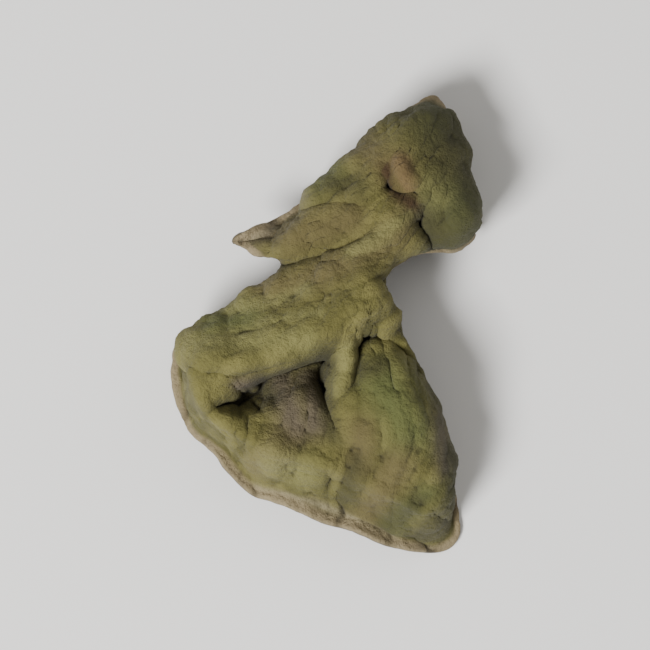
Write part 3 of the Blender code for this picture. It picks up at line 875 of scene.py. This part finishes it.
@dataclass(frozen=True)
class PlanGrid:
    """A smooth grid of plan points inside a border, with no folded cell even at the waist.

    The grid of least distortion: a x_uu - 2 b x_uv + c x_vv = 0, where a, b and c are the
    squared length of x_v, the product of x_u and x_v, and the squared length of x_u.  It is
    settled on a coarse grid first, then on grids with twice the cells each way.
    """

    across: int
    along: int
    coarse: int = 8
    first_rounds: int = 700
    rounds: int = 260
    stay: float = 0.2
    move: float = 0.8

    def inside(self, border: np.ndarray) -> np.ndarray:
        """The finest grid.

        Args:
            border: Plan points round it, from its low left corner.

        Returns:
            Plan points, one for each grid node.
        """
        step = self.coarse
        grid = self.first(*self.sides(border, step))
        self.settle(grid, self.first_rounds)
        while step > 1:
            step //= 2
            grid = self.finer(grid)
            grid[:, 0], grid[:, -1], grid[0], grid[-1] = self.sides(border, step)
            self.settle(grid, self.rounds)
        return grid

    def sides(self, border: np.ndarray, step: int) -> tuple[np.ndarray, ...]:
        """The four sides of a border, in grid order.

        Args:
            border: Plan points round the finest grid, from its low left corner.
            step: Only every so many of them are taken.

        Returns:
            Points of the low, the high, the left and the right side.
        """
        ring = np.vstack([border, border[:1]])[::step]
        nu, nv = self.across // step, self.along // step
        low, right = ring[:nu + 1], ring[nu:nu + nv + 1]
        high, left = ring[nu + nv:2 * nu + nv + 1], ring[2 * nu + nv:]
        return low, high[::-1], left[::-1], right

    @staticmethod
    def first(low: np.ndarray, high: np.ndarray, left: np.ndarray, right: np.ndarray) -> np.ndarray:
        """A grid between four sides: the sum of both pairs' blends, less that of the corners.

        Args:
            low: Points from the low left corner to the low right one.
            high: Points from the high left corner.
            left: Points up from the low left corner.
            right: Points up from the low right corner.

        Returns:
            Plan points, one for each grid node.
        """
        u = np.linspace(0.0, 1.0, len(low))[:, None, None]
        v = np.linspace(0.0, 1.0, len(left))[None, :, None]
        sides = (1 - v) * low[:, None] + v * high[:, None] + (1 - u) * left[None] + u * right[None]
        ends = (1 - u) * ((1 - v) * low[0] + v * high[0]) + u * ((1 - v) * low[-1] + v * high[-1])
        return sides - ends

    @staticmethod
    def finer(grid: np.ndarray) -> np.ndarray:
        """A grid with twice the cells each way, each new node midway between two others.

        Args:
            grid: The coarser grid.

        Returns:
            The finer one.
        """
        finer = np.zeros((2 * len(grid) - 1, 2 * grid.shape[1] - 1, 2))
        finer[::2, ::2] = grid
        finer[1::2, ::2] = (grid[1:] + grid[:-1]) / 2
        finer[:, 1::2] = (finer[:, 2::2] + finer[:, :-2:2]) / 2
        return finer

    def settle(self, grid: np.ndarray, rounds: int) -> None:
        """Move the inner nodes of a grid towards least distortion.

        Args:
            grid: The grid, changed in place.
            rounds: How many times.
        """
        for _ in range(rounds):
            by_u = (grid[2:, 1:-1] - grid[:-2, 1:-1]) / 2
            by_v = (grid[1:-1, 2:] - grid[1:-1, :-2]) / 2
            a = (by_v ** 2).sum(axis=-1)[..., None]
            b = (by_u * by_v).sum(axis=-1)[..., None]
            c = (by_u ** 2).sum(axis=-1)[..., None]
            mixed = (grid[2:, 2:] - grid[2:, :-2] - grid[:-2, 2:] + grid[:-2, :-2]) / 4
            pull = a * (grid[2:, 1:-1] + grid[:-2, 1:-1]) + c * (grid[1:-1, 2:] + grid[1:-1, :-2])
            pull = (pull - 2 * b * mixed) / (2 * (a + c))
            grid[1:-1, 1:-1] = self.stay * grid[1:-1, 1:-1] + self.move * pull


@dataclass(frozen=True)
class Streak:
    """Noise drawn out along the grain: its seed, its spacing across and its length, in mm."""

    seed: int
    spacing: float
    length: float


@dataclass
class Streaks:
    """Draws streaks on the sheet: along the grain on the upper face, round the ear on the skirt.

    The points are the nodes of the sheet, around is their place round the ear, and down is
    how far they lie down the skirt, in mm.
    """

    points: np.ndarray
    around: np.ndarray
    down: np.ndarray
    grain: GrainMap = field(default_factory=lambda: GrainMap(Grain()))
    draws: int = 12
    level: float = 7.3
    drum: float = 11.0
    drum_rise: float = 0.16
    drum_shift: float = 40.0
    skirt_seed: int = 100
    sway: float = 0.6
    sway_spacing: float = 2.2
    sway_seeds: tuple[int, ...] = (200, 300, 400)
    blend: Range = (0.5, 3.0)

    def drawn(self, streak: Streak) -> np.ndarray:
        """One kind of streak with spread 1: the face's, going over into the skirt's.

        ((1 - s) face + s skirt) / sqrt((1 - s)^2 + s^2), each over its own spread, where the
        share s rises over the blend's range of distances down the skirt.

        Args:
            streak: Its seed and sizes.

        Returns:
            One value a node.
        """
        face, skirt = self.over_face(streak), self.round_skirt(streak)
        share = ramp(self.down, *self.blend)
        mixed = (1 - share) * (face / face.std()) + share * (skirt / skirt.std())
        return mixed / np.sqrt((1 - share) ** 2 + share ** 2)

    def over_face(self, streak: Streak) -> np.ndarray:
        """Sum of noise along each point's grain line, half the length either way, in even steps.

        Args:
            streak: Its seed and sizes.

        Returns:
            One value a node.
        """
        plan = self.points[:, :2]
        total = self.flat_noise(plan, streak)
        for sign in (-1.0, 1.0):
            spot, way = plan, sign * self.grain.read(plan)
            for _ in range(self.draws):
                spot = spot + way * streak.length / (2 * self.draws)
                turn = self.grain.read(spot)
                way = turn * np.sign((turn * way).sum(axis=1) + TINY)[:, None]
                total = total + self.flat_noise(spot, streak)
        return total

    def round_skirt(self, streak: Streak) -> np.ndarray:
        """Noise on a drum that is low for its width, so that it changes slowly down the skirt.

        Args:
            streak: Its seed and spacing.

        Returns:
            One value a node.
        """
        drum = on_drum(self.around, self.drum, self.drum_rise * self.down)
        seeds = (streak.seed + more for more in self.sway_seeds)
        sway = [lattice_noise(self.points, seed, self.sway_spacing) for seed in seeds]
        place = drum + self.drum_shift + self.sway * np.stack(sway, axis=-1)
        return lattice_noise(place, streak.seed + self.skirt_seed, streak.spacing)

    def flat_noise(self, plan: np.ndarray, streak: Streak) -> np.ndarray:
        """Lattice noise over plan points."""
        level = np.full((len(plan), 1), self.level)
        return lattice_noise(np.concatenate([plan, level], axis=1), streak.seed, streak.spacing)


@dataclass(frozen=True)
class Drying:
    """What drying does to the sheet: streaks, waves and the heights in mm that they give it."""

    broad: Streak = Streak(31, 1.35, 5.0)
    middle: Streak = Streak(32, 0.75, 3.2)
    fine: Streak = Streak(33, 0.38, 1.8)
    patch: Wave = Wave(0.5, 4.0, 34)
    rough: Wave = Wave(0.5, 2.4, 38)
    pucker: tuple[Wave, ...] = (Wave(0.22, 2.6, 21), Wave(0.10, 1.4, 22))
    pucker_inside: float = 0.4
    crimp: tuple[Wave, ...] = (Wave(0.08, 0.9, 35), Wave(0.06, 0.45, 36), Wave(0.04, 0.26, 37))
    swelling: float = 0.11
    broad_height: float = 0.06
    middle_height: float = 0.09
    fine_height: float = 0.06
    broad_blunt: float = 0.02
    fine_blunt: float = 0.03
    broad_least: float = 0.2
    middle_least: float = 0.25
    fine_most: float = 1.3
    comb: tuple[float, float] = (0.6, 0.4)
    calm_pit: float = 0.6
    calm_skirt: float = 0.4
    calm_scar: float = 0.7
    calm_edge: float = 0.75
    scar_width: float = 0.9
    edge_width: float = 1.2

    @staticmethod
    def ridged(streaks: np.ndarray, blunt: float) -> np.ndarray:
        """Creases where streaks cross 0 and ridges between: sqrt(streaks^2 + blunt) - 0.75."""
        return np.sqrt(streaks ** 2 + blunt) - 0.75

    def calm(self, face: UpperFace, plan: np.ndarray, outness: np.ndarray) -> np.ndarray:
        """How much of the folds is left in the hollow, at its edge, on the scar and on the skirt.

        The product of 1 less each one's calm, times how much a point belongs to it.

        Args:
            face: The upper face.
            plan: Plan points.
            outness: How far down the skirt each is, from 0 to 1.

        Returns:
            A share from 0 to 1 for each.
        """
        scarred = bell(along(plan, face.scar_bump.line)[0], self.scar_width)
        edge = bell(along(plan, face.hollow)[0], self.edge_width)
        calm = (1.0 - self.calm_pit * face.pit(plan)) * (1.0 - self.calm_skirt * outness)
        return calm * (1.0 - self.calm_scar * scarred) * (1.0 - self.calm_edge * edge)

    def folds(self, points: np.ndarray, streaks: list[np.ndarray]) -> np.ndarray:
        """Heights of the wrinkles: broad swells, and ridges that are patchy at each scale.

        The swelling times the broad streaks, plus the sum over the three scales of the
        height times the ridged streaks times a slow wave that is about one half.

        Args:
            points: Nodes of the sheet.
            streaks: The broad, the middle and the fine streaks on it.

        Returns:
            One height a node.
        """
        broad, middle, fine = streaks
        patch, rough = 0.5 + self.patch.at(points), 0.5 + self.rough.at(points)
        folds = self.swelling * broad
        folds += self.broad_height * self.ridged(broad, self.broad_blunt) * (self.broad_least + patch)
        folds += self.middle_height * self.ridged(middle, self.fine_blunt) * (self.middle_least + rough)
        folds += self.fine_height * self.ridged(fine, self.fine_blunt) * (self.fine_most - rough)
        return folds


@dataclass
class Sheet:
    """The ear's dried sheet: where its middle lies, how it wrinkles and how thick it is.

    The crease value of a node says how deep it lies in a crease, and below 0 how high on a
    ridge.  As it goes through the bend's range, the squeezed side gives way.
    """

    face: UpperFace
    skirt: Skirt
    net: Net
    drying: Drying = Drying()
    flesh: float = 0.76
    rim_flesh: float = 0.46
    thinning: float = 3.0
    floor: float = 0.30
    flattening: float = 0.2
    rim_rows: int = 5
    inner_distance: float = 9.0
    normal_softening: int = 8
    crease_softening: int = 10
    crease_depth: float = 0.08
    most_crease: float = 3.0
    bend: Range = (0.8, 2.8)
    bend_fade: Range = (0.0, 1.0)
    sunk_upper: float = 0.7
    sunk_under: float = 0.6
    raised_under: float = 0.5
    pinch: float = 0.6
    pinch_width: float = 0.9
    pinch_bend: Range = (-0.5, 1.0)
    middle: np.ndarray = field(init=False)
    outness: np.ndarray = field(init=False)
    around: np.ndarray = field(init=False)
    length: np.ndarray = field(init=False)
    to_rim: np.ndarray = field(init=False)

    def __post_init__(self) -> None:
        """Lay the middle of the sheet over the net."""
        net = self.net
        border = self.skirt.border(net.across, net.along)
        plan = PlanGrid(net.across, net.along).inside(self.skirt.start(border))
        self.middle = np.zeros((net.count, 3))
        self.middle[net.core] = self.face.place(plan, self.face.height(plan))
        row = np.linspace(0.0, 1.0, net.rows + 1)[:, None] * np.ones(len(border))
        self.middle[net.rings[1:]] = self.skirt.surface(border * np.ones(row[1:].shape), row[1:])
        length = self.skirt.read(self.skirt.length, border, np.zeros(len(border)))
        self.outness, self.around, self.length = (np.zeros(net.count) for _ in range(3))
        self.outness[net.rings] = row
        self.around[net.rings] = border
        self.length[net.rings] = length
        self.to_rim = np.full(net.count, self.inner_distance)
        self.to_rim[net.rings] = (1 - row) * length
        LOG.info("sheet laid: %d nodes, %d cells", net.count, len(net.quads))

    def dry(self) -> dict[str, np.ndarray]:
        """Wrinkle the sheet as drying does, and flatten what would sink into its resting surface.

        Each node moves along its softened normal by the pucker, which grows towards the rim,
        and by the folds and the crimp.  The least height of the middle is rounded off as
        least + f log(1 + exp((z - least) / f)), where f is the flattening.

        Returns:
            Named values a node that the finish reads.
        """
        net, drying = self.net, self.drying
        streaks = Streaks(self.middle, self.around, self.outness * self.length)
        drawn = [streaks.drawn(streak) for streak in (drying.broad, drying.middle, drying.fine)]
        normal = net.spread(net.normals(self.middle), self.normal_softening)
        normal /= np.linalg.norm(normal, axis=1)[:, None]
        pucker = swell(drying.pucker, self.middle)
        pucker = pucker * (drying.pucker_inside + (1.0 - drying.pucker_inside) * self.outness)
        plan = self.middle[:, :2]
        values = {tint.name: tint.share(plan) for tint in TINTS}
        values["comb"] = drying.comb[0] * drawn[1] + drying.comb[1] * drawn[2]
        values["to_rim"] = self.to_rim
        folds = drying.folds(self.middle, drawn) + swell(drying.crimp, self.middle)
        calm = drying.calm(self.face, plan, self.outness)
        self.middle = self.middle + normal * (pucker + calm * folds)[:, None]
        least = self.floor + 0.5 * self.rim_flesh
        over = (self.middle[:, 2] - least) / self.flattening
        self.middle[:, 2] = least + self.flattening * np.logaddexp(0.0, over)
        return values

    def hollowness(self, normal: np.ndarray) -> np.ndarray:
        """How deep each node lies in a crease: how far its surroundings' mean is above it.

        Args:
            normal: One normal a node.

        Returns:
            One value a node, in crease depths, and below 0 on a ridge.
        """
        around = self.net.spread(self.middle, self.crease_softening)
        depth = ((around - self.middle) * normal).sum(axis=1)
        return np.clip(depth / self.crease_depth, -self.most_crease, self.most_crease)

    def half_flesh(self, crease: np.ndarray) -> np.ndarray:
        """Half the thickness of the flesh, thinner towards the rim and on the narrow tongue.

        Args:
            crease: How deep each node lies in a crease.

        Returns:
            One thickness a node, in mm.
        """
        near_rim = ramp(self.thinning - self.to_rim, 0.0, self.thinning)
        half = 0.5 * (self.flesh + (self.rim_flesh - self.flesh) * near_rim)
        tongue = bell(along(self.middle[:, :2], self.face.tongue.line)[0], self.pinch_width)
        return half * (1.0 - self.pinch * (tongue * ramp(-crease, *self.pinch_bend)))

    def offsets(self, crease: np.ndarray, half: np.ndarray) -> tuple[np.ndarray, np.ndarray]:
        """How far the upper and the under face lie off the middle.

        Half the thickness, and less where a sharp bend squeezes the side.  Under a crease the
        under face lies further off.  Both fade to half the thickness close to the rim.

        Args:
            crease: How deep each node lies in a crease.
            half: Half the thickness at each node.

        Returns:
            The upper face's distances and the under face's, in mm.
        """
        free = ramp(self.to_rim, *self.bend_fade)
        sunk, raised = free * ramp(crease, *self.bend), free * ramp(-crease, *self.bend)
        above = half * (1.0 - self.sunk_upper * sunk)
        below = half * (1.0 + self.sunk_under * sunk - self.raised_under * raised)
        return above, below

    def rim(self, normal: np.ndarray, half: np.ndarray, turn: np.ndarray) -> list[np.ndarray]:
        """Rows of points round the edge: middle + half (cos t * normal + sin t * way out).

        Args:
            normal: One normal a node.
            half: Half the thickness at each node.
            turn: The angle t of each row, from 0 at the upper face to pi at the under one.

        Returns:
            One row of points for each angle.
        """
        last, before = self.net.rings[-1], self.net.rings[-2]
        way = self.middle[last] - self.middle[before]
        way -= (way * normal[last]).sum(axis=1)[:, None] * normal[last]
        way /= np.linalg.norm(way, axis=1)[:, None]
        return [
            self.middle[last] + half[last, None] * (np.cos(t) * normal[last] + np.sin(t) * way)
            for t in turn
        ]

    def closed(
        self, values: dict[str, np.ndarray]
    ) -> tuple[np.ndarray, np.ndarray, dict[str, np.ndarray]]:
        """Both faces of the sheet, off its middle along the normals, and the rim that joins them.

        Args:
            values: Named values a node.

        Returns:
            Points in mm, quads, and the named values a point, with upper: 1 above, 0 under.
        """
        net = self.net
        normal = net.normals(self.middle)
        crease = self.hollowness(normal)
        half = self.half_flesh(crease)
        above, below = self.offsets(crease, half)
        upper, under = self.middle + normal * above[:, None], self.middle - normal * below[:, None]
        turn = np.linspace(0.0, np.pi, self.rim_rows + 2)[1:-1]
        points = np.concatenate([upper, under, *self.rim(normal, half, turn)])
        last = net.rings[-1]
        extra = 2 * net.count + np.arange(self.rim_rows * len(last)).reshape(self.rim_rows, -1)
        strip = np.vstack([last, extra, last + net.count])
        strip = np.hstack([strip, strip[:, :1]])
        quads = np.concatenate([net.quads, net.quads[:, ::-1] + net.count, cells(strip)])
        named = {
            name: np.concatenate([value, value, np.tile(value[last], self.rim_rows)])
            for name, value in dict(values, crease=crease).items()
        }
        rim_share = np.repeat(0.5 + 0.5 * np.cos(turn), len(last))
        named["upper"] = np.concatenate([np.ones(net.count), np.zeros(net.count), rim_share])
        return points, quads, named


Number = Union[float, "Value"]
Paint = Union[Colour, bpy.types.NodeSocket]


class Value:
    """A number in a material: wraps a socket, and an expression on it adds its Math nodes."""

    def __init__(self, maker: "Nodes", socket: bpy.types.NodeSocket) -> None:
        """Keep the socket and the material's node maker."""
        self.maker = maker
        self.socket = socket

    def math(self, operation: str, first: Number, second: Number) -> "Value":
        """The result of one Math node on two numbers."""
        node = self.maker.add("ShaderNodeMath", {"operation": operation}, {0: first, 1: second})
        return Value(self.maker, node.outputs[0])

    def __add__(self, other: Number) -> "Value":
        """Sum."""
        return self.math("ADD", self, other)

    __radd__ = __add__

    def __sub__(self, other: Number) -> "Value":
        """Difference."""
        return self.math("SUBTRACT", self, other)

    def __rsub__(self, other: Number) -> "Value":
        """Difference from a number."""
        return self.math("SUBTRACT", other, self)

    def __mul__(self, other: Number) -> "Value":
        """Product."""
        return self.math("MULTIPLY", self, other)

    __rmul__ = __mul__

    def ramp(self, low: float, high: float) -> "Value":
        """Smooth step from 0 at low to 1 at high."""
        node = self.maker.add(
            "ShaderNodeMapRange",
            {"interpolation_type": "SMOOTHSTEP", "clamp": True},
            {"Value": self, "From Min": low, "From Max": high},
        )
        return Value(self.maker, node.outputs[0])


@dataclass(frozen=True)
class Mottle:
    """A noise pattern: the size of its features in mm, its finer layers and how strong they are."""

    size: float
    detail: float = 3.0
    rough: float = 0.55


class Nodes:
    """Makes the nodes of one material."""

    def __init__(self, material: bpy.types.Material) -> None:
        """Start the material with an empty node tree and its output.

        Args:
            material: The material to fill.
        """
        material.use_nodes = True
        self.tree = material.node_tree
        self.tree.nodes.clear()
        self.output = self.add("ShaderNodeOutputMaterial", {}, {})

    def add(self, kind: str, settings: dict, inputs: dict) -> bpy.types.Node:
        """One node.

        Args:
            kind: Blender's type name.
            settings: Attributes set before the sockets, such as a Math node's operation.
            inputs: By a socket's name or number, the constant, Value or socket that it gets.

        Returns:
            The node.
        """
        node = self.tree.nodes.new(kind)
        for name, setting in settings.items():
            setattr(node, name, setting)
        for name, given in inputs.items():
            given = given.socket if isinstance(given, Value) else given
            if isinstance(given, bpy.types.NodeSocket):
                self.tree.links.new(given, node.inputs[name])
            else:
                node.inputs[name].default_value = given
        return node

    def attribute(self, name: str) -> Value:
        """A named value of the mesh."""
        node = self.add("ShaderNodeAttribute", {"attribute_name": name}, {})
        return Value(self, node.outputs["Fac"])

    def coordinates(self) -> bpy.types.NodeSocket:
        """Object coordinates, in metres."""
        return self.add("ShaderNodeTexCoord", {}, {}).outputs["Object"]

    def noise(self, mottle: Mottle) -> Value:
        """A noise pattern's value, from 0 to 1 over Object coordinates."""
        inputs = {
            "Vector": self.coordinates(),
            "Scale": 1.0 / (mottle.size * MM),
            "Detail": mottle.detail,
            "Roughness": mottle.rough,
        }
        return Value(self, self.add("ShaderNodeTexNoise", {}, inputs).outputs["Fac"])

    def veins(self, size: float) -> Value:
        """Distance to the nearest edge of a net with meshes of about a size in mm, in sizes."""
        inputs = {"Vector": self.coordinates(), "Scale": 1.0 / (size * MM)}
        node = self.add("ShaderNodeTexVoronoi", {"feature": "DISTANCE_TO_EDGE"}, inputs)
        return Value(self, node.outputs["Distance"])

    def mix(self, share: Number, first: Paint, second: Paint) -> bpy.types.NodeSocket:
        """A colour between two others.

        Args:
            share: How much of the second there is, from 0 to 1.
            first: The colour where the share is 0.
            second: The colour where it is 1.

        Returns:
            The colour's socket.
        """
        inputs = {0: share, 6: self.colour(first), 7: self.colour(second)}
        node = self.add("ShaderNodeMix", {"data_type": "RGBA", "clamp_factor": True}, inputs)
        return node.outputs[2]

    @staticmethod
    def colour(given: Paint) -> Union[tuple[float, ...], bpy.types.NodeSocket]:
        """A socket as it is, or a colour with its alpha added."""
        return given if isinstance(given, bpy.types.NodeSocket) else (*given, 1.0)

    def bump(self, height: Value, strength: float, distance: float) -> bpy.types.NodeSocket:
        """Normals of a surface raised by a height.

        Args:
            height: The height, in distances.
            strength: How much of it shows, from 0 to 1.
            distance: The distance, in mm.

        Returns:
            The normals' socket.
        """
        inputs = {"Strength": strength, "Distance": distance * MM, "Height": height}
        return self.add("ShaderNodeBump", {}, inputs).outputs[0]

    def shader(self, inputs: dict) -> bpy.types.NodeSocket:
        """Blender's general shader with the inputs given."""
        return self.add("ShaderNodeBsdfPrincipled", {}, inputs).outputs[0]


FELT_PALE: Colour = (0.172, 0.155, 0.046)
# Near black: painted shade in the creases, and the colour of the felt's dark specks.
CREASE_SHADE_AND_SPECKS: Colour = (0.012, 0.009, 0.003)


@dataclass(frozen=True)
class Coat:
    """A colour over the ones before it: how well it covers, and where its pattern brings it in."""

    colour: Colour
    strength: float
    low: float
    high: float

    def over(self, nodes: Nodes, below: Paint, pattern: Value) -> bpy.types.NodeSocket:
        """The colour below with the coat on it where the pattern rises from low to high."""
        return nodes.mix(pattern.ramp(self.low, self.high) * self.strength, below, self.colour)


@dataclass(frozen=True)
class DriedFlesh:
    """Finish of the ear: olive felt above, smooth dark slate-brown flesh under, pale at the rim.

    Colours and coats lie over one another in the order of the two sides' methods.  A rim's
    reach is the distances from the edge, in mm, over which its colour fades.  A relief is
    the height of a bump, in mm.
    """

    felt: Colour = (0.076, 0.069, 0.015)
    rim: Colour = (0.27, 0.215, 0.125)
    under: Colour = (0.022, 0.018, 0.017)
    sides: Range = (0.25, 0.75)
    comb: float = 0.26
    blotch: Mottle = Mottle(1.6, 4.0)
    hairs: Mottle = Mottle(0.09, 2.0, 0.7)
    specks: Mottle = Mottle(0.22, 3.0, 0.7)
    nap: Mottle = Mottle(0.32, 4.0, 0.65)
    vein_size: float = 0.5
    pale_streaks: Coat = Coat(FELT_PALE, 0.7, 0.3, 0.9)
    # Paler ridge crests: partly the felt's own paler tips, partly painted highlight on the ridges.
    pale_crests_and_highlight: Coat = Coat(FELT_PALE, 0.35, 0.0, 2.2)
    pale_hairs: Coat = Coat(FELT_PALE, 0.35, 0.5, 0.75)
    # Mostly painted shade in the creases, partly the felt's own darker hollows.
    crease_shade_and_dark_hollows: Coat = Coat(CREASE_SHADE_AND_SPECKS, 0.85, 0.0, 2.2)
    dark_specks: Coat = Coat(CREASE_SHADE_AND_SPECKS, 0.25, 0.5, 0.7)
    rim_reach: Range = (0.1, 1.2)
    rim_strength: float = 0.85
    hair_height: float = 0.45
    vein_height: float = 0.12
    vein_reach: Range = (0.0, 0.3)
    felt_bump: float = 0.9
    felt_relief: float = 0.2
    felt_roughness: float = 0.86
    felt_specular: float = 0.3
    sheen: float = 0.04
    sheen_roughness: float = 0.5
    under_blotch: Mottle = Mottle(2.2, 4.0)
    under_pale: Coat = Coat((0.075, 0.056, 0.048), 0.7, 0.4, 0.75)
    under_grain: Mottle = Mottle(0.35)
    under_fine: Mottle = Mottle(0.12, 2.0)
    under_fine_height: float = 0.3
    under_rim_reach: Range = (0.0, 0.9)
    under_rim_strength: float = 0.55
    under_bump: float = 0.5
    under_relief: float = 0.06
    under_roughness: float = 0.32
    under_wear: float = 0.2
    under_wear_range: Range = (0.2, 0.8)

    def material(self) -> bpy.types.Material:
        """Build the node material: a mix of both sides by the sheet's upper value.

        Returns:
            The material.
        """
        material = bpy.data.materials.new("dried_flesh")
        nodes = Nodes(material)
        share = nodes.attribute("upper").ramp(*self.sides)
        sides = {0: share, 1: self.smooth_side(nodes), 2: self.felted_side(nodes)}
        mixed = nodes.add("ShaderNodeMixShader", {}, sides)
        nodes.tree.links.new(mixed.outputs[0], nodes.output.inputs["Surface"])
        return material

    def felted_side(self, nodes: Nodes) -> bpy.types.NodeSocket:
        """Shader of the upper side: dull felt, with painted shade in its creases and painted highlight on
        its ridges, partly the felt's own darker hollows and paler crests.

        The tints, light among them as painted highlight and the shade tints as painted shade, lie over the
        felt's own colours, and the rim and the painted crease shade over them.

        Args:
            nodes: The material's node maker.

        Returns:
            The shader's socket.
        """
        crease = nodes.attribute("crease")
        hairs = nodes.noise(self.hairs)
        streak = self.comb * nodes.attribute("comb") + nodes.noise(self.blotch)
        colour = self.pale_streaks.over(nodes, self.felt, streak)
        # Paler on the ridges: partly painted highlight, partly the felt's own paler crests.
        colour = self.pale_crests_and_highlight.over(nodes, colour, 0.0 - crease)
        colour = self.pale_hairs.over(nodes, colour, hairs)
        # Among the tints, light is painted highlight and the dark shade tints are painted shade; the others
        # are the ear's own colours.
        for tint in TINTS:
            colour = nodes.mix(nodes.attribute(tint.name) * tint.strength, colour, tint.colour)
        near_rim = 1.0 - nodes.attribute("to_rim").ramp(*self.rim_reach)
        colour = nodes.mix(near_rim * self.rim_strength, colour, self.rim)
        # Painted shade in the creases, from the crease depth, partly the felt's own darker hollows.
        colour = self.crease_shade_and_dark_hollows.over(nodes, colour, crease)
        colour = self.dark_specks.over(nodes, colour, nodes.noise(self.specks))
        veins = nodes.veins(self.vein_size).ramp(*self.vein_reach)
        height = hairs * self.hair_height + nodes.noise(self.nap) + veins * self.vein_height
        return nodes.shader({
            "Base Color": colour,
            "Roughness": self.felt_roughness,
            "Specular IOR Level": self.felt_specular,
            "Sheen Weight": self.sheen,
            "Sheen Roughness": self.sheen_roughness,
            "Normal": nodes.bump(height, self.felt_bump, self.felt_relief),
        })

    def smooth_side(self, nodes: Nodes) -> bpy.types.NodeSocket:
        """Shader of the under side: dark, faintly glossy, paler where it is worn or thin.

        Args:
            nodes: The material's node maker.

        Returns:
            The shader's socket.
        """
        blotch = nodes.noise(self.under_blotch)
        colour = self.under_pale.over(nodes, self.under, blotch)
        near_rim = 1.0 - nodes.attribute("to_rim").ramp(*self.under_rim_reach)
        colour = nodes.mix(near_rim * self.under_rim_strength, colour, BEIGE)
        height = nodes.noise(self.under_grain) + nodes.noise(self.under_fine) * self.under_fine_height
        worn = blotch.ramp(*self.under_wear_range)
        return nodes.shader({
            "Base Color": colour,
            "Roughness": worn * self.under_wear + self.under_roughness,
            "Normal": nodes.bump(height, self.under_bump, self.under_relief),
        })


@dataclass(frozen=True)
class PaleFloor:
    """Finish of the floor: plain, pale and dull."""

    colour: Colour = (0.78, 0.77, 0.75)
    roughness: float = 0.9

    def material(self) -> bpy.types.Material:
        """Build the node material.

        Returns:
            The material.
        """
        material = bpy.data.materials.new("floor")
        nodes = Nodes(material)
        shader = nodes.shader({"Base Color": nodes.colour(self.colour), "Roughness": self.roughness})
        nodes.tree.links.new(shader, nodes.output.inputs["Surface"])
        return material


@dataclass
class Ear:
    """The dried ear: one closed piece that stands for the solid."""

    finish: DriedFlesh = field(default_factory=DriedFlesh)
    node: str = "ear"
    slot: str = "dried_flesh"

    def build(self) -> bpy.types.Object:
        """Make the ear's mesh, centre it on its solid and dress it.

        Returns:
            The piece.
        """
        face = UpperFace()
        sheet = Sheet(face, Skirt(face), Net())
        points, quads, values = sheet.closed(sheet.dry())
        low, high = (np.array(corner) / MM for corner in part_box(self.node))
        middle = (points.min(axis=0) + points.max(axis=0)) / 2
        shift = np.array([*((low + high) / 2 - middle)[:2], low[2] - points[:, 2].min()])
        mesh = bpy.data.meshes.new("dried_ear")
        mesh.from_pydata((points + shift) * MM, [], quads)
        mesh.update()
        mesh.shade_smooth()
        for name, value in values.items():
            layer = mesh.attributes.new(name, "FLOAT", "POINT")
            layer.data.foreach_set("value", value.astype(np.float32))
        piece = bpy.data.objects.new("dried_ear", mesh)
        bpy.context.scene.collection.objects.link(piece)
        mesh.materials.append(self.finish.material())
        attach(piece, "root")
        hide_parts(self.node)
        return piece


@dataclass(frozen=True)
class Light:
    """A soft rectangular lamp that looks at the ear."""

    name: str
    place: tuple[float, float, float]
    size: float
    power: float

    def build(self, target: Vector) -> None:
        """Hang the lamp and turn it to the target.

        Args:
            target: The point that it looks at, in metres.
        """
        lamp = bpy.data.lights.new(self.name, "AREA")
        lamp.size = self.size
        lamp.energy = self.power
        thing = bpy.data.objects.new(self.name, lamp)
        thing.location = self.place
        thing.rotation_mode = "QUATERNION"
        thing.rotation_quaternion = (target - Vector(self.place)).to_track_quat("-Z", "Y")
        bpy.context.scene.collection.objects.link(thing)


@dataclass
class Studio:
    """Pale floor, soft light and a camera that looks straight down, as on a table."""

    floor: PaleFloor = PaleFloor()
    floor_side: float = 4.0
    air: Colour = (1.0, 0.98, 0.94)
    air_strength: float = 0.36
    lens: float = 200.0
    clip: Range = (0.01, 10.0)
    height: float = 0.235
    target: tuple[float, float, float] = (0.0, 0.0, 0.004)
    lights: tuple[Light, ...] = (
        Light("key", (-0.20, -0.18, 0.34), 0.14, 3.5),
        Light("fill", (0.28, 0.24, 0.32), 0.40, 0.5),
    )

    def build(self) -> None:
        """Lay the floor, hang the lamps, and set the world and the camera."""
        self.lay_floor()
        for light in self.lights:
            light.build(Vector(self.target))
        self.fill_room()
        self.set_camera()
        LOG.info("studio: floor, %d lamps and camera", len(self.lights))

    def lay_floor(self) -> None:
        """A wide square at the resting surface."""
        half = self.floor_side / 2
        corners = [(-half, -half, 0), (half, -half, 0), (half, half, 0), (-half, half, 0)]
        mesh = bpy.data.meshes.new("floor")
        mesh.from_pydata(corners, [], [(0, 1, 2, 3)])
        mesh.materials.append(self.floor.material())
        floor = bpy.data.objects.new("floor", mesh)
        bpy.context.scene.collection.objects.link(floor)

    def fill_room(self) -> None:
        """Even light from all sides."""
        world = bpy.data.worlds.new("room")
        world.use_nodes = True
        background = world.node_tree.nodes["Background"]
        background.inputs["Color"].default_value = (*self.air, 1.0)
        background.inputs["Strength"].default_value = self.air_strength
        bpy.context.scene.world = world

    def set_camera(self) -> None:
        """A camera straight above the target, looking down."""
        camera = bpy.data.cameras.new("camera")
        camera.lens = self.lens
        camera.clip_start, camera.clip_end = self.clip
        thing = bpy.data.objects.new("camera", camera)
        thing.location = Vector(self.target) + Vector((0.0, 0.0, self.height))
        bpy.context.scene.collection.objects.link(thing)
        bpy.context.scene.camera = thing


def main() -> None:
    """Build the ear and its studio."""
    logging.basicConfig(level=logging.INFO, format="%(name)s: %(message)s")
    piece = Ear().build()
    LOG.info("piece %s: %d points, %d faces", piece.name, len(piece.data.vertices), len(piece.data.polygons))
    Studio().build()


if __name__ == "__main__":
    main()
